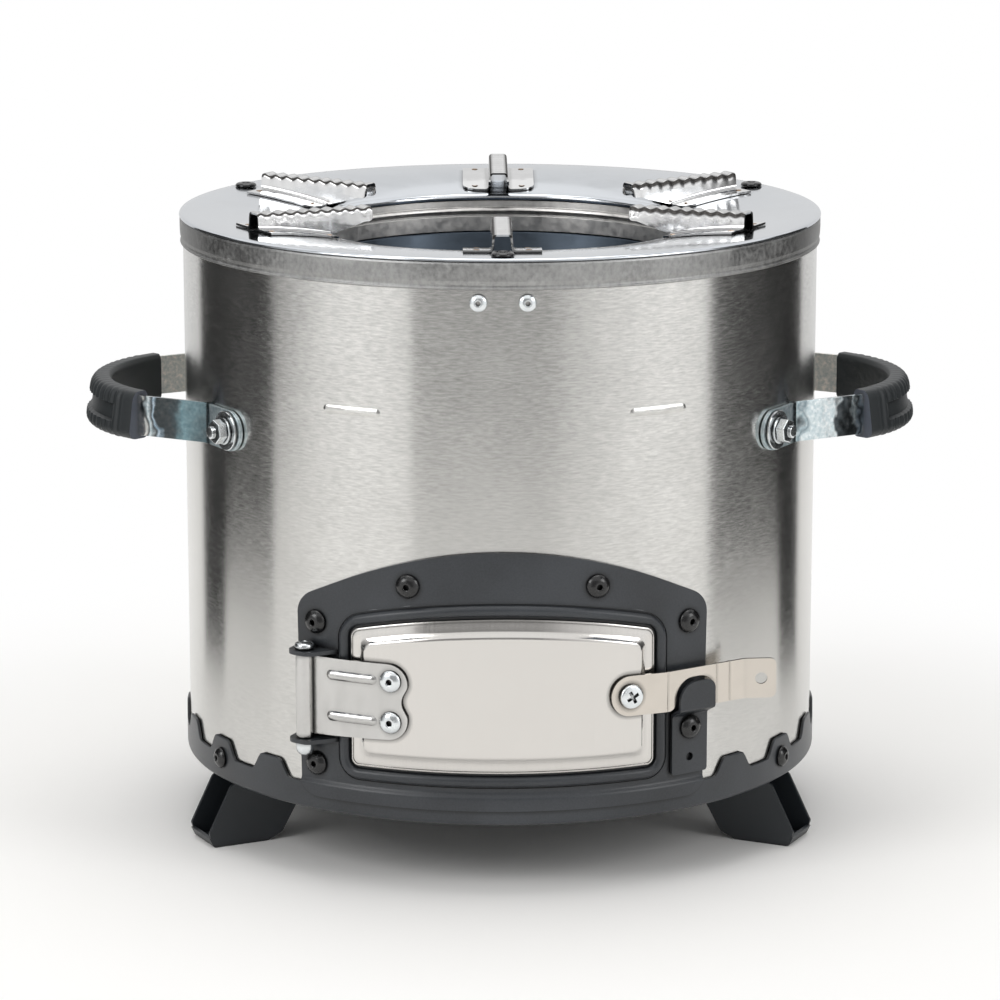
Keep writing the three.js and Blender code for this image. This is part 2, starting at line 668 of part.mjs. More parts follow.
// The pressed frame: a plate that wraps the drum, steps out over the pan and carries a rolled bead.
function makeFrame() {
  const lowInner = panWallOuter + seatGap;
  const stepBottom = panValleyTop + seatGap;
  const stepTop = stepBottom + frameStepRise;
  const top = frameSlopeCrossing + cutOverrun;
  const bottom = footHeight;
  const sheet = ring([
    [lowInner, bottom], [lowInner + frameSheet, bottom], [lowInner + frameSheet, stepBottom],
    [frameOuter, stepTop], [frameOuter, top], [frameInner, top], [frameInner, stepTop], [lowInner, stepBottom],
  ], drumFacets);
  const outline = roundedOutline([
    [-frameFootHalfWidth, frameFootHeight, frameFootRadius], [frameFootHalfWidth, frameFootHeight, frameFootRadius],
    [frameHalfWidth, frameShoulderHeight, frameShoulderRadius], [0, frameSlopeCrossing, frameArchRadius],
    [-frameHalfWidth, frameShoulderHeight, frameShoulderRadius],
  ]);
  const plate = sheet.intersect(frontPrism(outline));

  const beadOffset = doorFrameGap + beadRadius;
  const beadPoints = doorEdge(-beadOffset).map(([round, height]) => outward(round / degree, beadPathRadius, height));
  const beadPath = new THREE.CatmullRomCurve3(beadPoints, true);
  const beadSection = new THREE.Shape(Array.from({ length: beadSides }, (_, side) => {
    const turn = (side + 1 / 2) * 2 * Math.PI / beadSides;
    return new THREE.Vector2(Math.cos(turn), Math.sin(turn)).multiplyScalar(beadRadius);
  }));
  const bead = solidOf(new THREE.ExtrudeGeometry(beadSection, {
    steps: beadSteps, extrudePath: beadPath, bevelEnabled: false,
  }));
  const outsideDrum = ring([
    [frameInner, bottom], [rimRadius + cutOverrun, bottom], [rimRadius + cutOverrun, top], [frameInner, top],
  ], drumFacets);

  const out = outward(hingeAngle);
  const round = new THREE.Vector3().crossVectors(new THREE.Vector3(0, 0, 1), out);
  const earFrame = (height) => new THREE.Matrix4().makeBasis(round, out, new THREE.Vector3(0, 0, 1).negate())
    .setPosition(outward(hingeAngle, hingeRadius, height));
  const plateDepth = -hingeStandOff - frameSheet / 2;
  const ear = roundedOutline([
    [-earGussetLeft, plateDepth], [-earRadius, earRadius, earRadius * 0.95],
    [earRadius, earRadius, earRadius * 0.95], [earGussetRight, plateDepth - frameSheet / 3],
  ]);
  const earTops = [barrelBottom - seatGap, barrelTop + seatGap + earSheet];
  const ears = earTops.map((height) => prism(ear, earSheet, earFrame(height)));
  const pinHole = drill(
    hingePinRadius + seatGap, barrelBottom - cutOverrun, barrelTop + cutOverrun,
    new THREE.Matrix4().makeTranslation(outward(hingeAngle, hingeRadius, 0)),
  );
  const rivetHoles = [...frameRivets, ['catch', catchAngle, catchRivetHeight]].map(([, angle, height]) => drill(
    frameRivetShank + seatGap, -cutOverrun, cutOverrun / 3, wallFrame(angle, frameOuter, height),
  ));
  const whole = joined([plate, bead.intersect(outsideDrum), ...ears]);
  addPiece('door_frame', carved(whole, [frontPrism(doorwayOutline(0)), pinHole, ...rivetHoles]), 'powder');
}

// The door's edge as [angle round the drum, height] points, moved in by an inset.
function doorEdge(inset) {
  const half = doorHalfWidth - inset;
  const corner = doorCorner + Math.max(-inset, 0);
  const bottom = doorBottom + inset;
  const top = doorTop - inset;
  const stations = [];
  for (let step = 0; step < cornerSteps; step += 1) {
    const turn = (step / cornerSteps) * Math.PI / 2;
    stations.push([half - corner + corner * Math.cos(turn), corner - corner * Math.sin(turn)]);
  }
  const flat = half - corner;
  for (let step = 0; step <= doorStations; step += 1) stations.push([flat - 2 * flat * step / doorStations, 0]);
  for (let step = cornerSteps - 1; step >= 0; step -= 1) {
    const [across, drop] = stations[step];
    stations.push([-across, drop]);
  }
  const arch = (across) => doorArchRadius - Math.sqrt(doorArchRadius ** 2 - across ** 2);
  const upper = stations.map(([across, drop]) => [across / bodyRadius, top - arch(across) - drop]);
  const lower = stations.map(([across, drop]) => [across / bodyRadius, bottom + drop]).reverse();
  return [...upper, ...lower];
}

// The pressed door: its edge is repeated as rings at each depth, and both faces close in upright strips.
function makeDoor() {
  const rings = [
    [panelInner, doorFlange + doorSlope + doorSheet], [doorInner, doorFlange + doorSheet], [doorInner, 0],
    [doorOuter, 0], [doorOuter, doorFlange], [panelOuter, doorFlange + doorSlope],
  ];
  const loops = rings.map(([radius, inset]) => doorEdge(inset)
    .map(([round, height]) => outward(round / degree, radius, height)));
  const count = loops[0].length;
  const positions = loops.flat().flatMap((point) => point.toArray());
  const triangles = [];
  const quad = (a, b, c, d) => triangles.push(a, b, c, a, c, d);
  for (let level = 0; level < loops.length - 1; level += 1) {
    for (let step = 0; step < count; step += 1) {
      const next = (step + 1) % count;
      quad(level * count + step, level * count + next, (level + 1) * count + next, (level + 1) * count + step);
    }
  }
  const last = (loops.length - 1) * count;
  for (let step = 0; step < count / 2 - 1; step += 1) {
    const across = count - 1 - step;
    quad(step, across, across - 1, step + 1);
    quad(last + step, last + step + 1, last + across - 1, last + across);
  }
  const geometry = new THREE.BufferGeometry();
  geometry.setAttribute('position', new THREE.BufferAttribute(new Float32Array(positions), 3));
  geometry.setIndex(triangles);
  const holes = [
    ...strapRivets.map(([, height]) => drill(
      strapRivetShank + seatGap, -cutOverrun, cutOverrun, wallFrame(strapRivetAngle, panelOuter, height),
    )),
    drill(latchPivotRadius + seatGap, -cutOverrun, cutOverrun, wallFrame(latchAngle, panelOuter, latchHeight)),
  ];
  addPiece('air_door', carved(solidOf(geometry), holes), 'bright');
}

const strapEndAngle = hingeAngle + strapReach / strapOuter / degree;
const strapRivetAngle = strapEndAngle - strapRivetInset / strapOuter / degree;
const strapRivets = [
  ['upper', strapMiddle + strapRivetSpread / 2], ['lower', strapMiddle - strapRivetSpread / 2],
];

function makeHinge() {
  const pinFrame = new THREE.Matrix4().makeTranslation(outward(hingeAngle, hingeRadius, 0));
  const hingeX = outward(hingeAngle, hingeRadius).x;
  const endX = outward(strapEndAngle, strapOuter).x;
  const outline = roundedOutline([
    [hingeX, strapBottom - barrelRadius / 2], [endX, strapBottom, strapCorner],
    [endX - strapWaist, strapMiddle, strapCorner], [endX, strapTop, strapCorner], [hingeX, strapTop],
  ]);
  const bottom = strapBottom - cutOverrun;
  const top = strapTop + cutOverrun;
  const band = (inner, outer) => ring([[inner, bottom], [outer, bottom], [outer, top], [inner, top]], drumFacets);
  const leaf = band(strapInner, strapOuter).intersect(frontPrism(outline));
  const ribStart = hingeX + ribInset;
  const ribEnd = outward(strapRivetAngle, strapOuter).x - strapRivetHead - seatGap;
  const ribs = strapRivets.map(([, height]) => {
    const radius = ribWidth / 2;
    const rib = roundedOutline([
      [ribStart, height - radius, radius], [ribEnd, height - radius, radius],
      [ribEnd, height + radius, radius], [ribStart, height + radius, radius],
    ]);
    return band(strapInner + strapSheet / 2, strapOuter + ribRaise).intersect(frontPrism(rib, { curveSegments: 2 }));
  });
  const barrel = turned([
    [0, barrelBottom], [barrelRadius, barrelBottom], [barrelRadius, barrelTop], [0, barrelTop],
  ], pinFrame, 16);
  const bore = drill(hingePinRadius + seatGap, bottom, top, pinFrame);
  const rivetHoles = strapRivets.map(([, height]) => drill(
    strapRivetShank + seatGap, -cutOverrun, cutOverrun, wallFrame(strapRivetAngle, strapOuter, height),
  ));
  addPiece('hinge_strap', carved(joined([leaf, barrel, ...ribs]), [bore, ...rivetHoles]), 'bright');

  const headBase = barrelTop + seatGap + earSheet + seatGap;
  const nutTop = barrelBottom - seatGap - earSheet - seatGap;
  const screwEnd = nutTop - hingeNutHeight / 2;
  addPiece('hinge_screw', turned([
    [0, screwEnd], [hingePinRadius, screwEnd], [hingePinRadius, headBase], [hingeHeadRadius, headBase],
    [hingeHeadRadius, headBase + hingeHeadHeight / 2], [hingeHeadRadius * 0.75, headBase + hingeHeadHeight],
    [0, headBase + hingeHeadHeight],
  ], pinFrame), 'zinc');
  addPiece('hinge_nut', turned([
    [0, nutTop - hingeNutHeight], [hingeNutRadius * 0.6, nutTop - hingeNutHeight * 0.9],
    [hingeNutRadius, nutTop - hingeNutHeight / 2], [hingeNutRadius, nutTop],
    [hingePinRadius + seatGap, nutTop], [hingePinRadius + seatGap, screwEnd - seatGap], [0, screwEnd - seatGap],
  ], pinFrame), 'zinc');
}

// The latch strip: a ribbon bent to follow the drum, cut by its outline with the catch notch.
const latchPlane = panelOuter + seatGap;
function makeLatch() {
  const frame = wallFrame(latchAngle, latchPlane, latchHeight);
  const halfWidth = latchWidth / 2;
  const middle = latchSheet / 2;
  const ribbon = ribbonOutline([
    [-halfWidth, middle], [latchFlat, middle], [latchWrapReach, middle - latchWrapDrop],
    [latchKneeReach, middle - latchKneeDrop], [latchTipReach, middle - latchTipDrop],
  ], -middle, middle);
  const plan = new THREE.Matrix4().multiplyMatrices(frame, new THREE.Matrix4().makeBasis(
    new THREE.Vector3(1, 0, 0), new THREE.Vector3(0, 0, 1), new THREE.Vector3(0, -1, 0),
  ).setPosition(0, latchWidth, 0));
  const turn = (catchAngle - latchAngle) * degree;
  const tabReach = catchPlane + catchStandOff + catchSheet;
  const tabMiddle = tabReach * Math.sin(turn);
  const tabHalf = catchWidth / 2 * Math.cos(turn);
  const tabTop = catchTabTop - latchHeight;
  const notchLeft = tabMiddle - tabHalf - notchSideClearance;
  const notchRight = tabMiddle + tabHalf + notchSideClearance;
  const notchTop = tabTop + notchTopClearance;
  const outline = roundedOutline([
    [-halfWidth, -halfWidth, halfWidth], [latchTipReach, -halfWidth, latchTipRadius],
    [latchTipReach, halfWidth, latchTipRadius], [-halfWidth, halfWidth, halfWidth],
  ]);
  const notch = roundedOutline([
    [notchLeft - notchMouthRadius, -halfWidth], [notchLeft - notchMouthRadius, -latchWidth],
    [notchRight, -latchWidth], [notchRight, notchTop, notchArchRadius],
    [notchLeft, notchTop, notchArchRadius], [notchLeft, -halfWidth, notchMouthRadius],
  ]);
  const sweep = (shape) => prism(shape, 2 * cutOverrun, new THREE.Matrix4().multiplyMatrices(
    frame, new THREE.Matrix4().makeTranslation(0, 0, -cutOverrun),
  ));
  const tipHole = circleOutline(latchTipReach - latchTipHoleInset, 0, latchTipHoleRadius);
  const pivotHole = drill(latchPivotRadius + seatGap, -cutOverrun, cutOverrun, frame);
  const strip = prism(ribbon, 2 * latchWidth, plan).intersect(sweep(outline));
  addPiece('latch_strip', carved(strip, [sweep(notch), sweep(tipHole), pivotHole]), 'nickel');

  const headBase = latchSheet + seatGap;
  const nutOut = panelInner - latchPlane - seatGap;
  const screwEnd = nutOut - latchNutHeight - seatGap;
  addPiece('latch_screw', turned([
    [0, screwEnd], [latchPivotRadius, screwEnd], [latchPivotRadius, headBase], [latchHeadRadius, headBase],
    [latchHeadRadius, headBase + latchHeadHeight / 2], [latchHeadRadius * 0.7, headBase + latchHeadHeight],
    [0, headBase + latchHeadHeight],
  ], frame, 16), 'zinc');
  const nutBore = drill(latchPivotRadius + seatGap, -cutOverrun, cutOverrun, frame);
  const nutSettle = doorSheet / 2;
  addPiece('latch_nut', carved(turned([
    [0, nutOut - latchNutHeight], [latchNutRadius, nutOut - latchNutHeight],
    [latchNutRadius, nutOut - nutSettle], [0, nutOut - nutSettle],
  ], frame, 6), [nutBore]), 'zinc');
}

// The catch: a flat plate riveted over the frame, bent out into an upright tab.
const catchPlane = frameOuter + seatGap;
function makeCatch() {
  const frame = wallFrame(catchAngle, catchPlane, 0);
  const bend = catchBend + catchBendRise;
  const profile = new THREE.Shape([
    [0, catchBottom], [catchSheet, catchBottom], [catchSheet, catchBend - catchSheet],
    [catchStandOff + catchSheet, bend - catchSheet / 2], [catchStandOff + catchSheet, catchTabTop],
    [catchStandOff, catchTabTop], [catchStandOff, bend + catchSheet / 2], [0, catchBend],
  ].map(([x, y]) => new THREE.Vector2(x, y)));
  const side = new THREE.Matrix4().multiplyMatrices(frame, new THREE.Matrix4().makeBasis(
    new THREE.Vector3(0, 0, 1), new THREE.Vector3(0, 1, 0), new THREE.Vector3(-1, 0, 0),
  ).setPosition(catchWidth / 2, 0, 0));
  const half = catchWidth / 2;
  const face = roundedOutline([
    [-half, catchBottom, catchSheet], [half, catchBottom, catchSheet],
    [half, catchTabTop, catchTabRadius], [-half, catchTabTop, catchTabRadius],
  ]);
  const bracket = prism(profile, catchWidth, side).intersect(prism(face, cutOverrun, frame));
  const frameAt = (height) => wallFrame(catchAngle, catchPlane, height);
  const holes = [
    drill(frameRivetShank + seatGap, -cutOverrun, cutOverrun, frameAt(catchRivetHeight)),
    drill(catchHoleRadius, -cutOverrun, cutOverrun, frameAt(catchHoleHeight)),
  ];
  addPiece('catch_bracket', carved(bracket, holes), 'powder');
}

// A blind rivet: domed head with its mandrel dimple, shank, and the tail that the pull leaves inside.
function rivetProfile(head, height, shank, grip) {
  const dimple = shank * 0.75;
  return [
    [0, -grip - rivetTailLength], [shank, -grip - rivetTailLength],
    [shank * 1.5, -grip - rivetTailLength * 0.6], [shank * 1.5, -grip], [shank, -grip],
    [shank, seatGap], [head, seatGap], [head * 0.92, seatGap + height * 0.45],
    [head * 0.6, seatGap + height * 0.9], [dimple, seatGap + height], [dimple, seatGap + height * 0.6],
    [0, seatGap + height * 0.6],
  ];
}

function makeRivets() {
  const frameGrip = frameOuter - shellInner + seatGap;
  const frameProfile = rivetProfile(frameRivetHead, frameRivetHeight, frameRivetShank, frameGrip);
  frameRivets.forEach(([name, angle, height]) => {
    addPiece(name, turned(frameProfile, wallFrame(angle, frameOuter, height)), 'blackRivet');
  });
  const catchGrip = frameGrip + catchSheet + seatGap;
  const catchProfile = rivetProfile(frameRivetHead, frameRivetHeight, frameRivetShank, catchGrip);
  const catchRivetFrame = wallFrame(catchAngle, catchPlane + catchSheet, catchRivetHeight);
  addPiece('catch_rivet', turned(catchProfile, catchRivetFrame), 'blackRivet');

  const strapGrip = strapOuter - panelInner + seatGap;
  const strapProfile = rivetProfile(strapRivetHead, strapRivetHeight, strapRivetShank, strapGrip);
  strapRivets.forEach(([place, height]) => {
    addPiece(`strap_rivet_${place}`, turned(strapProfile, wallFrame(strapRivetAngle, strapOuter, height)), 'zinc');
  });

  const bodyProfile = rivetProfile(bodyRivetHead, bodyRivetHeight, bodyRivetShank, bodySheet + seatGap);
  [['left', -bodyRivetAngle], ['right', bodyRivetAngle]].forEach(([place, angle]) => {
    addPiece(`body_rivet_${place}`, turned(bodyProfile, wallFrame(angle, bodyRadius, bodyRivetLevel)), 'zinc');
  });

  const panGrip = panWallOuter - shellInner + seatGap;
  const panProfile = rivetProfile(panScrewHead, panScrewHeight, panScrewShank, panGrip);
  panScrews.forEach(([name, angle]) => {
    addPiece(name, turned(panProfile, wallFrame(angle, panWallOuter, panScrewLevel)), 'blackRivet');
  });
}

function makePlateBolts() {
  [['front', 0], ['right', 1], ['left', 2]].forEach(([place, turn]) => {
    const frame = topFrame(turn * footPitch, plateBoltCircle);
    addPiece(`plate_bolt_${place}`, turned([
      [0, -plateBoltLength], [plateBoltShank, -plateBoltLength], [plateBoltShank, 0], [plateBoltHead, 0],
      [plateBoltHead * 0.96, plateBoltHeight * 0.35], [plateBoltHead * 0.72, plateBoltHeight * 0.8],
      [plateBoltHead * 0.35, plateBoltHeight], [0, plateBoltHeight],
    ], frame), 'blackRivet');
  });
}

// One pot support: a serrated channel over the fire with flanges that lie on the dished plate.
function makeSupports() {
  const low = rimHeight - dishDepth - lipDrop;
  const plateTop = ring([
    [mouthRadius - cutOverrun, low - cutOverrun], [rimRadius, low - cutOverrun],
    ...dishCurve(rimRadius, mouthDishRadius, seatGap), [mouthRadius - cutOverrun, low],
  ], ringFacets);
  const flangeBand = ring([
    ...dishCurve(supportFlangeInner - cutOverrun, supportOuter + cutOverrun, seatGap),
    ...dishCurve(supportOuter + cutOverrun, supportFlangeInner - cutOverrun, seatGap + supportSheet),
  ], ringFacets);
  const ridge = (radius) => supportTop - supportTilt * (supportOuter - radius) / (supportOuter - supportInner);
  const noseBottom = supportTop - supportNose;
  const cutHeight = dishHeight(supportInner + supportNoseRun);
  const teeth = Array.from({ length: supportToothCount }, (_, tooth) => {
    const start = supportToothStart + tooth * supportToothPitch;
    return [
      [start, ridge(start) - supportToothHeight],
      [start + supportToothPitch / 4, ridge(start + supportToothPitch / 4)],
      [start + supportToothPitch / 2, ridge(start + supportToothPitch / 2) - supportToothHeight],
    ];
  }).flat();
  const side = roundedOutline([
    [supportInner, noseBottom, supportNoseRadius / 2], [supportInner + supportNoseRadius, noseBottom],
    [supportInner + supportNoseRun, cutHeight], [supportInner + supportNoseRun, low - cutOverrun / 2],
    [supportOuter, low - cutOverrun / 2], [supportOuter, ridge(supportOuter) - supportToothHeight],
    ...teeth.reverse(), [supportInner, ridge(supportInner) - supportToothHeight],
  ]);
  const roof = (radius) => ridge(radius) - supportToothHeight - supportSheet;
  const underStart = supportInner - cutOverrun;
  const underEnd = supportOuter + cutOverrun;
  const under = new THREE.Shape([
    [underStart, low - cutOverrun], [underEnd, low - cutOverrun],
    [underEnd, roof(underEnd)], [underStart, roof(underStart)],
  ].map(([x, y]) => new THREE.Vector2(x, y)));
  const halfFlange = supportWidth / 2 + supportFlange;
  const flangeOutline = roundedOutline([
    [supportFlangeInner, -halfFlange, supportFlange / 2], [supportOuter, -halfFlange],
    [supportOuter, halfFlange], [supportFlangeInner, halfFlange, supportFlange / 2],
  ]);
  for (let index = 0; index < supportCount; index += 1) {
    const angle = index * 360 / supportCount;
    const out = outward(angle);
    const up = new THREE.Vector3(0, 0, 1);
    const across = new THREE.Vector3().crossVectors(out, up);
    const frame = (width) => new THREE.Matrix4().makeBasis(out, up, across)
      .setPosition(across.clone().multiplyScalar(-width / 2));
    const inner = supportWidth - 2 * supportSheet;
    const plan = new THREE.Matrix4().makeBasis(out, across.clone().negate(), up)
      .setPosition(0, 0, low - cutOverrun);
    const flange = flangeBand.intersect(prism(flangeOutline, rimHeight, plan));
    const channel = prism(side, supportWidth, frame(supportWidth)).subtract(plateTop);
    const support = carved(channel.add(flange), [prism(under, inner, frame(inner))]);
    addPiece(`pot_support_${index + 1}`, support, 'bright');
  }
}

// The handle's line seen from above, [out, along] points from one bolt pad round to the other.
function handlePath() {
  const wall = panWallInner + handleStripSheet / 2;
  const pad = [handlePadStart, (handlePadStart + handleBendAngle) / 2, handleBendAngle]
    .map((angle) => [wall * Math.cos(angle * degree), wall * Math.sin(angle * degree)]);
  return [...pad, ...gripArc(gripHalfLength), ...pad.map(([out, along]) => [out, -along]).reverse()];
}

function gripArc(halfLength) {
  const reach = Math.asin(halfLength / gripRadius);
  return Array.from({ length: gripSteps + 1 }, (_, step) => {
    const turn = reach - 2 * reach * step / gripSteps;
    return [gripReach - gripRadius + gripRadius * Math.cos(turn), gripRadius * Math.sin(turn)];
  });
}

function makeHandles() {
  const halfSheet = handleStripSheet / 2;
  const halfGrip = gripThickness / 2;
  const strip = ribbonOutline(handlePath(), -halfSheet, halfSheet);
  const slot = ribbonOutline(handlePath(), -halfSheet - seatGap, halfSheet + seatGap);
  const grip = ribbonOutline(gripArc(gripHalfLength), gripRound - halfGrip, halfGrip - gripRound);
  const window = ribbonOutline(gripArc(gripHalfLength - gripWindowInset), halfGrip - gripWindowDepth, halfGrip + cutOverrun);
  [['right', 1], ['left', -1]].forEach(([side, facing]) => {
    const level = (height) => new THREE.Matrix4().makeBasis(
      new THREE.Vector3(facing, 0, 0), new THREE.Vector3(0, facing, 0), new THREE.Vector3(0, 0, 1),
    ).setPosition(0, 0, handleLevel - height / 2);
    const bolts = handleBoltAngles.filter(([name]) => name.startsWith(side));
    const boltHoles = bolts.map(([, angle]) => drill(
      handleBoltShank + seatGap, -cutOverrun, cutOverrun, wallFrame(angle, bodyRadius, handleLevel),
    ));
    const body = prism(strip, handleStripHeight, level(handleStripHeight));
    addPiece(`handle_strip_${side}`, carved(body, boltHoles), 'zinc');
    const slotHeight = handleStripHeight + 2 * seatGap;
    const coreHeight = gripHeight - 2 * gripRound;
    const moulding = prism(grip, coreHeight, level(coreHeight), {
      bevelEnabled: true, bevelThickness: gripRound, bevelSize: gripRound, bevelSegments: 2,
    });
    addPiece(`handle_grip_${side}`, carved(moulding, [
      prism(slot, slotHeight, level(slotHeight)), prism(window, gripWindowHeight, level(gripWindowHeight)),
    ]), 'moulded');
  });
  const washerBase = panWallInner + handleStripSheet + seatGap;
  handleBoltAngles.forEach(([place, angle]) => {
    const frame = wallFrame(angle, 0, handleLevel);
    const hole = drill(handleBoltShank + seatGap, washerBase - cutOverrun, washerBase + cutOverrun, frame);
    addPiece(`handle_washer_${place}`, carved(turned([
      [0, washerBase], [handleWasherRadius, washerBase], [handleWasherRadius, washerBase + handleWasherSheet],
      [0, washerBase + handleWasherSheet],
    ], frame, 18), [hole]), 'zinc');
    const nutTop = handleNutBase + handleNutHeight;
    const nut = turned([
      [0, handleNutBase], [handleNutRadius, handleNutBase], [handleNutRadius, nutTop], [0, nutTop],
    ], frame, 6);
    const bolt = turned([
      [0, shellInner - handleBoltLength], [handleBoltShank, shellInner - handleBoltLength],
      [handleBoltShank, nutTop + handleThreadEnd / 2], [handleBoltShank * 0.7, nutTop + handleThreadEnd],
      [0, nutTop + handleThreadEnd],
    ], frame, 12);
    addPiece(`handle_bolt_${place}`, joined([nut, bolt]), 'zinc');
  });
}

makeShell();
makeTop();
makeFireBowl();
makeBasePan();
makeFeet();
makeFrame();
makeDoor();
makeHinge();
makeLatch();
makeCatch();
makeRivets();
makePlateBolts();
makeSupports();
makeHandles();

export default stove;
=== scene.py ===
import math

import bmesh
import bpy
from mathutils import Matrix, Vector


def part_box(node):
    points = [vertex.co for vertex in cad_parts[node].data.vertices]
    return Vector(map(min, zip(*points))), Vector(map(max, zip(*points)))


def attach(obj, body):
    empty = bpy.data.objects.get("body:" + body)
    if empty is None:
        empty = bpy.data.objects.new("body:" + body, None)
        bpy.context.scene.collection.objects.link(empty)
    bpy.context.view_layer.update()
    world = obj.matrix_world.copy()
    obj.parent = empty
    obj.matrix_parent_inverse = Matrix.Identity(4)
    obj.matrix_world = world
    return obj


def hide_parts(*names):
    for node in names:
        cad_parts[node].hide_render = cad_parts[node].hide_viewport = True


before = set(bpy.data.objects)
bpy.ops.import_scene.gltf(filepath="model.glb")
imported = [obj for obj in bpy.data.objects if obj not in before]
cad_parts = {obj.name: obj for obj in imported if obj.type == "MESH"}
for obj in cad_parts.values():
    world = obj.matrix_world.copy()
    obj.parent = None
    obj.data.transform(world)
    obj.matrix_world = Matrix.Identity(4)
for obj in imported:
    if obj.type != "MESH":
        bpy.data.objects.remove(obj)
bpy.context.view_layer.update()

# Camera: a long lens a little above the rim, aimed at the drum's axis from just left of the front.
# The angle, distance and height are those at which the photograph was taken.
mm = 0.001
camera_distance = 1948.6 * mm
camera_height = 580.6 * mm
camera_turn = math.radians(-0.5)
camera_tilt = math.radians(12.512)


def in_scene(name, data):
    """A new object at the origin, linked to the scene."""
    made = bpy.data.objects.new(name, data)
    bpy.context.collection.objects.link(made)
    return made


camera = in_scene("camera", bpy.data.cameras.new("camera"))
camera.data.sensor_width = 36
camera.data.lens = 151.1
camera.data.clip_end = 60
camera.location = (
    camera_distance * math.sin(camera_turn), -camera_distance * math.cos(camera_turn), camera_height,
)
camera.rotation_euler = (math.pi / 2 - camera_tilt, 0, camera_turn)
bpy.context.scene.camera = camera
bpy.context.scene.view_settings.view_transform = "Standard"


# Floor: a round white table top that fades into the white surround, and keeps the stove's shadow.
# It is small, as a studio table is, so the drum mirrors it only in its lower half.
def linear(hex_colour):
    """An sRGB hex colour as the linear RGBA that a shader takes."""
    channels = [int(hex_colour[at:at + 2], 16) / 255 for at in (1, 3, 5)]
    return tuple(c / 12.92 if c <= 0.04045 else ((c + 0.055) / 1.055) ** 2.4 for c in channels) + (1.0,)


def add_node(tree, kind, values=(), links=(), **settings):
    """Adds a ShaderNode kind with its settings, its sockets' values and the sockets that feed it."""
    made = tree.nodes.new("ShaderNode" + kind)
    for name, value in settings.items():
        setattr(made, name, value)
    for socket, value in dict(values).items():
        made.inputs[socket].default_value = value
    for socket, (source, output) in dict(links).items():
        tree.links.new(source.outputs[output], made.inputs[socket])
    return made


def new_material(name):
    """An empty node material and its tree."""
    material = bpy.data.materials.new(name)
    material.use_nodes = True
    material.node_tree.nodes.clear()
    return material, material.node_tree


def set_ramp(ramp_node, stops):
    """Puts (place, grey or colour) stops on a colour ramp."""
    stops = [
        (place, value if isinstance(value, tuple) else (value, value, value, 1)) for place, value in stops
    ]
    elements = ramp_node.color_ramp.elements
    elements[0].position, elements[0].color = stops[0]
    elements[1].position, elements[1].color = stops[-1]
    for place, colour in stops[1:-1]:
        elements.new(place).color = colour


def mesh_object(name, work, material):
    """A mesh that is made ready, as an object of one material."""
    mesh = bpy.data.meshes.new(name)
    work.to_mesh(mesh)
    work.free()
    mesh.materials.append(material)
    return in_scene(name, mesh)


table_radius = 1050 * mm
fade_start = 240 * mm
fade_end = 500 * mm
table_paint, tree = new_material("white_table_laminate")
place = add_node(tree, "TexCoord")
reach = add_node(tree, "VectorMath", links={0: (place, "Object")}, operation="LENGTH")
fade = add_node(
    tree, "MapRange", {"From Min": fade_start, "From Max": fade_end}, {"Value": (reach, "Value")},
    interpolation_type="SMOOTHSTEP",
)
laminate = add_node(tree, "BsdfDiffuse", {"Color": linear("#F8F7F5")})
surround = add_node(tree, "Emission", {"Color": (1, 1, 1, 1), "Strength": 1.0})
ray = add_node(tree, "LightPath")
seen = add_node(
    tree, "Math", links={0: (fade, "Result"), 1: (ray, "Is Camera Ray")}, operation="MULTIPLY",
)
table_mix = add_node(
    tree, "MixShader", links={0: (seen, "Value"), 1: (laminate, "BSDF"), 2: (surround, "Emission")},
)
add_node(tree, "OutputMaterial", links={"Surface": (table_mix, "Shader")})

table_work = bmesh.new()
bmesh.ops.create_circle(table_work, cap_ends=True, segments=96, radius=table_radius)
table_top = mesh_object("table_top", table_work, table_paint)


# Studio surround: white air, with grey sheets far off at the front, the left and the back, dark sheets and
# boards close at both sides, and a dark blue flag high up at each side. Only reflections show the sheets.
# They give the drum its upright light and dark bands.
surround_world = bpy.data.worlds.new("white_studio")
bpy.context.scene.world = surround_world
surround_world.use_nodes = True
tree = surround_world.node_tree
tree.nodes.clear()
ray = add_node(tree, "LightPath")
sees_white = add_node(
    tree, "Math", links={0: (ray, "Is Camera Ray"), 1: (ray, "Is Glossy Ray")}, operation="MAXIMUM",
)
sees_white = add_node(
    tree, "Math", links={0: (sees_white, "Value"), 1: (ray, "Is Transmission Ray")}, operation="MAXIMUM",
)
world_level = add_node(
    tree, "MapRange", {"To Min": 0.62, "To Max": 1.0}, {"Value": (sees_white, "Value")},
)
white_air = add_node(tree, "Background", {"Color": (1, 1, 1, 1)}, {"Strength": (world_level, "Result")})
add_node(tree, "OutputWorld", links={"Surface": (white_air, "Background")})


def spin_round(work, geom, degrees, steps):
    """Turns the geometry round the Z axis, and closes a full turn."""
    bmesh.ops.spin(
        work, geom=geom, cent=(0, 0, 0), axis=(0, 0, 1), angle=math.radians(degrees), steps=steps,
        use_merge=degrees == 360,
    )


def extruded(work):
    """Extrudes the work's faces, or its edges where it has no face, and gives the new vertices."""
    if work.faces:
        made = bmesh.ops.extrude_face_region(work, geom=work.faces[:])["geom"]
    else:
        made = bmesh.ops.extrude_edge_only(work, edges=work.edges[:])["geom"]
    return [v for v in made if isinstance(v, bmesh.types.BMVert)]


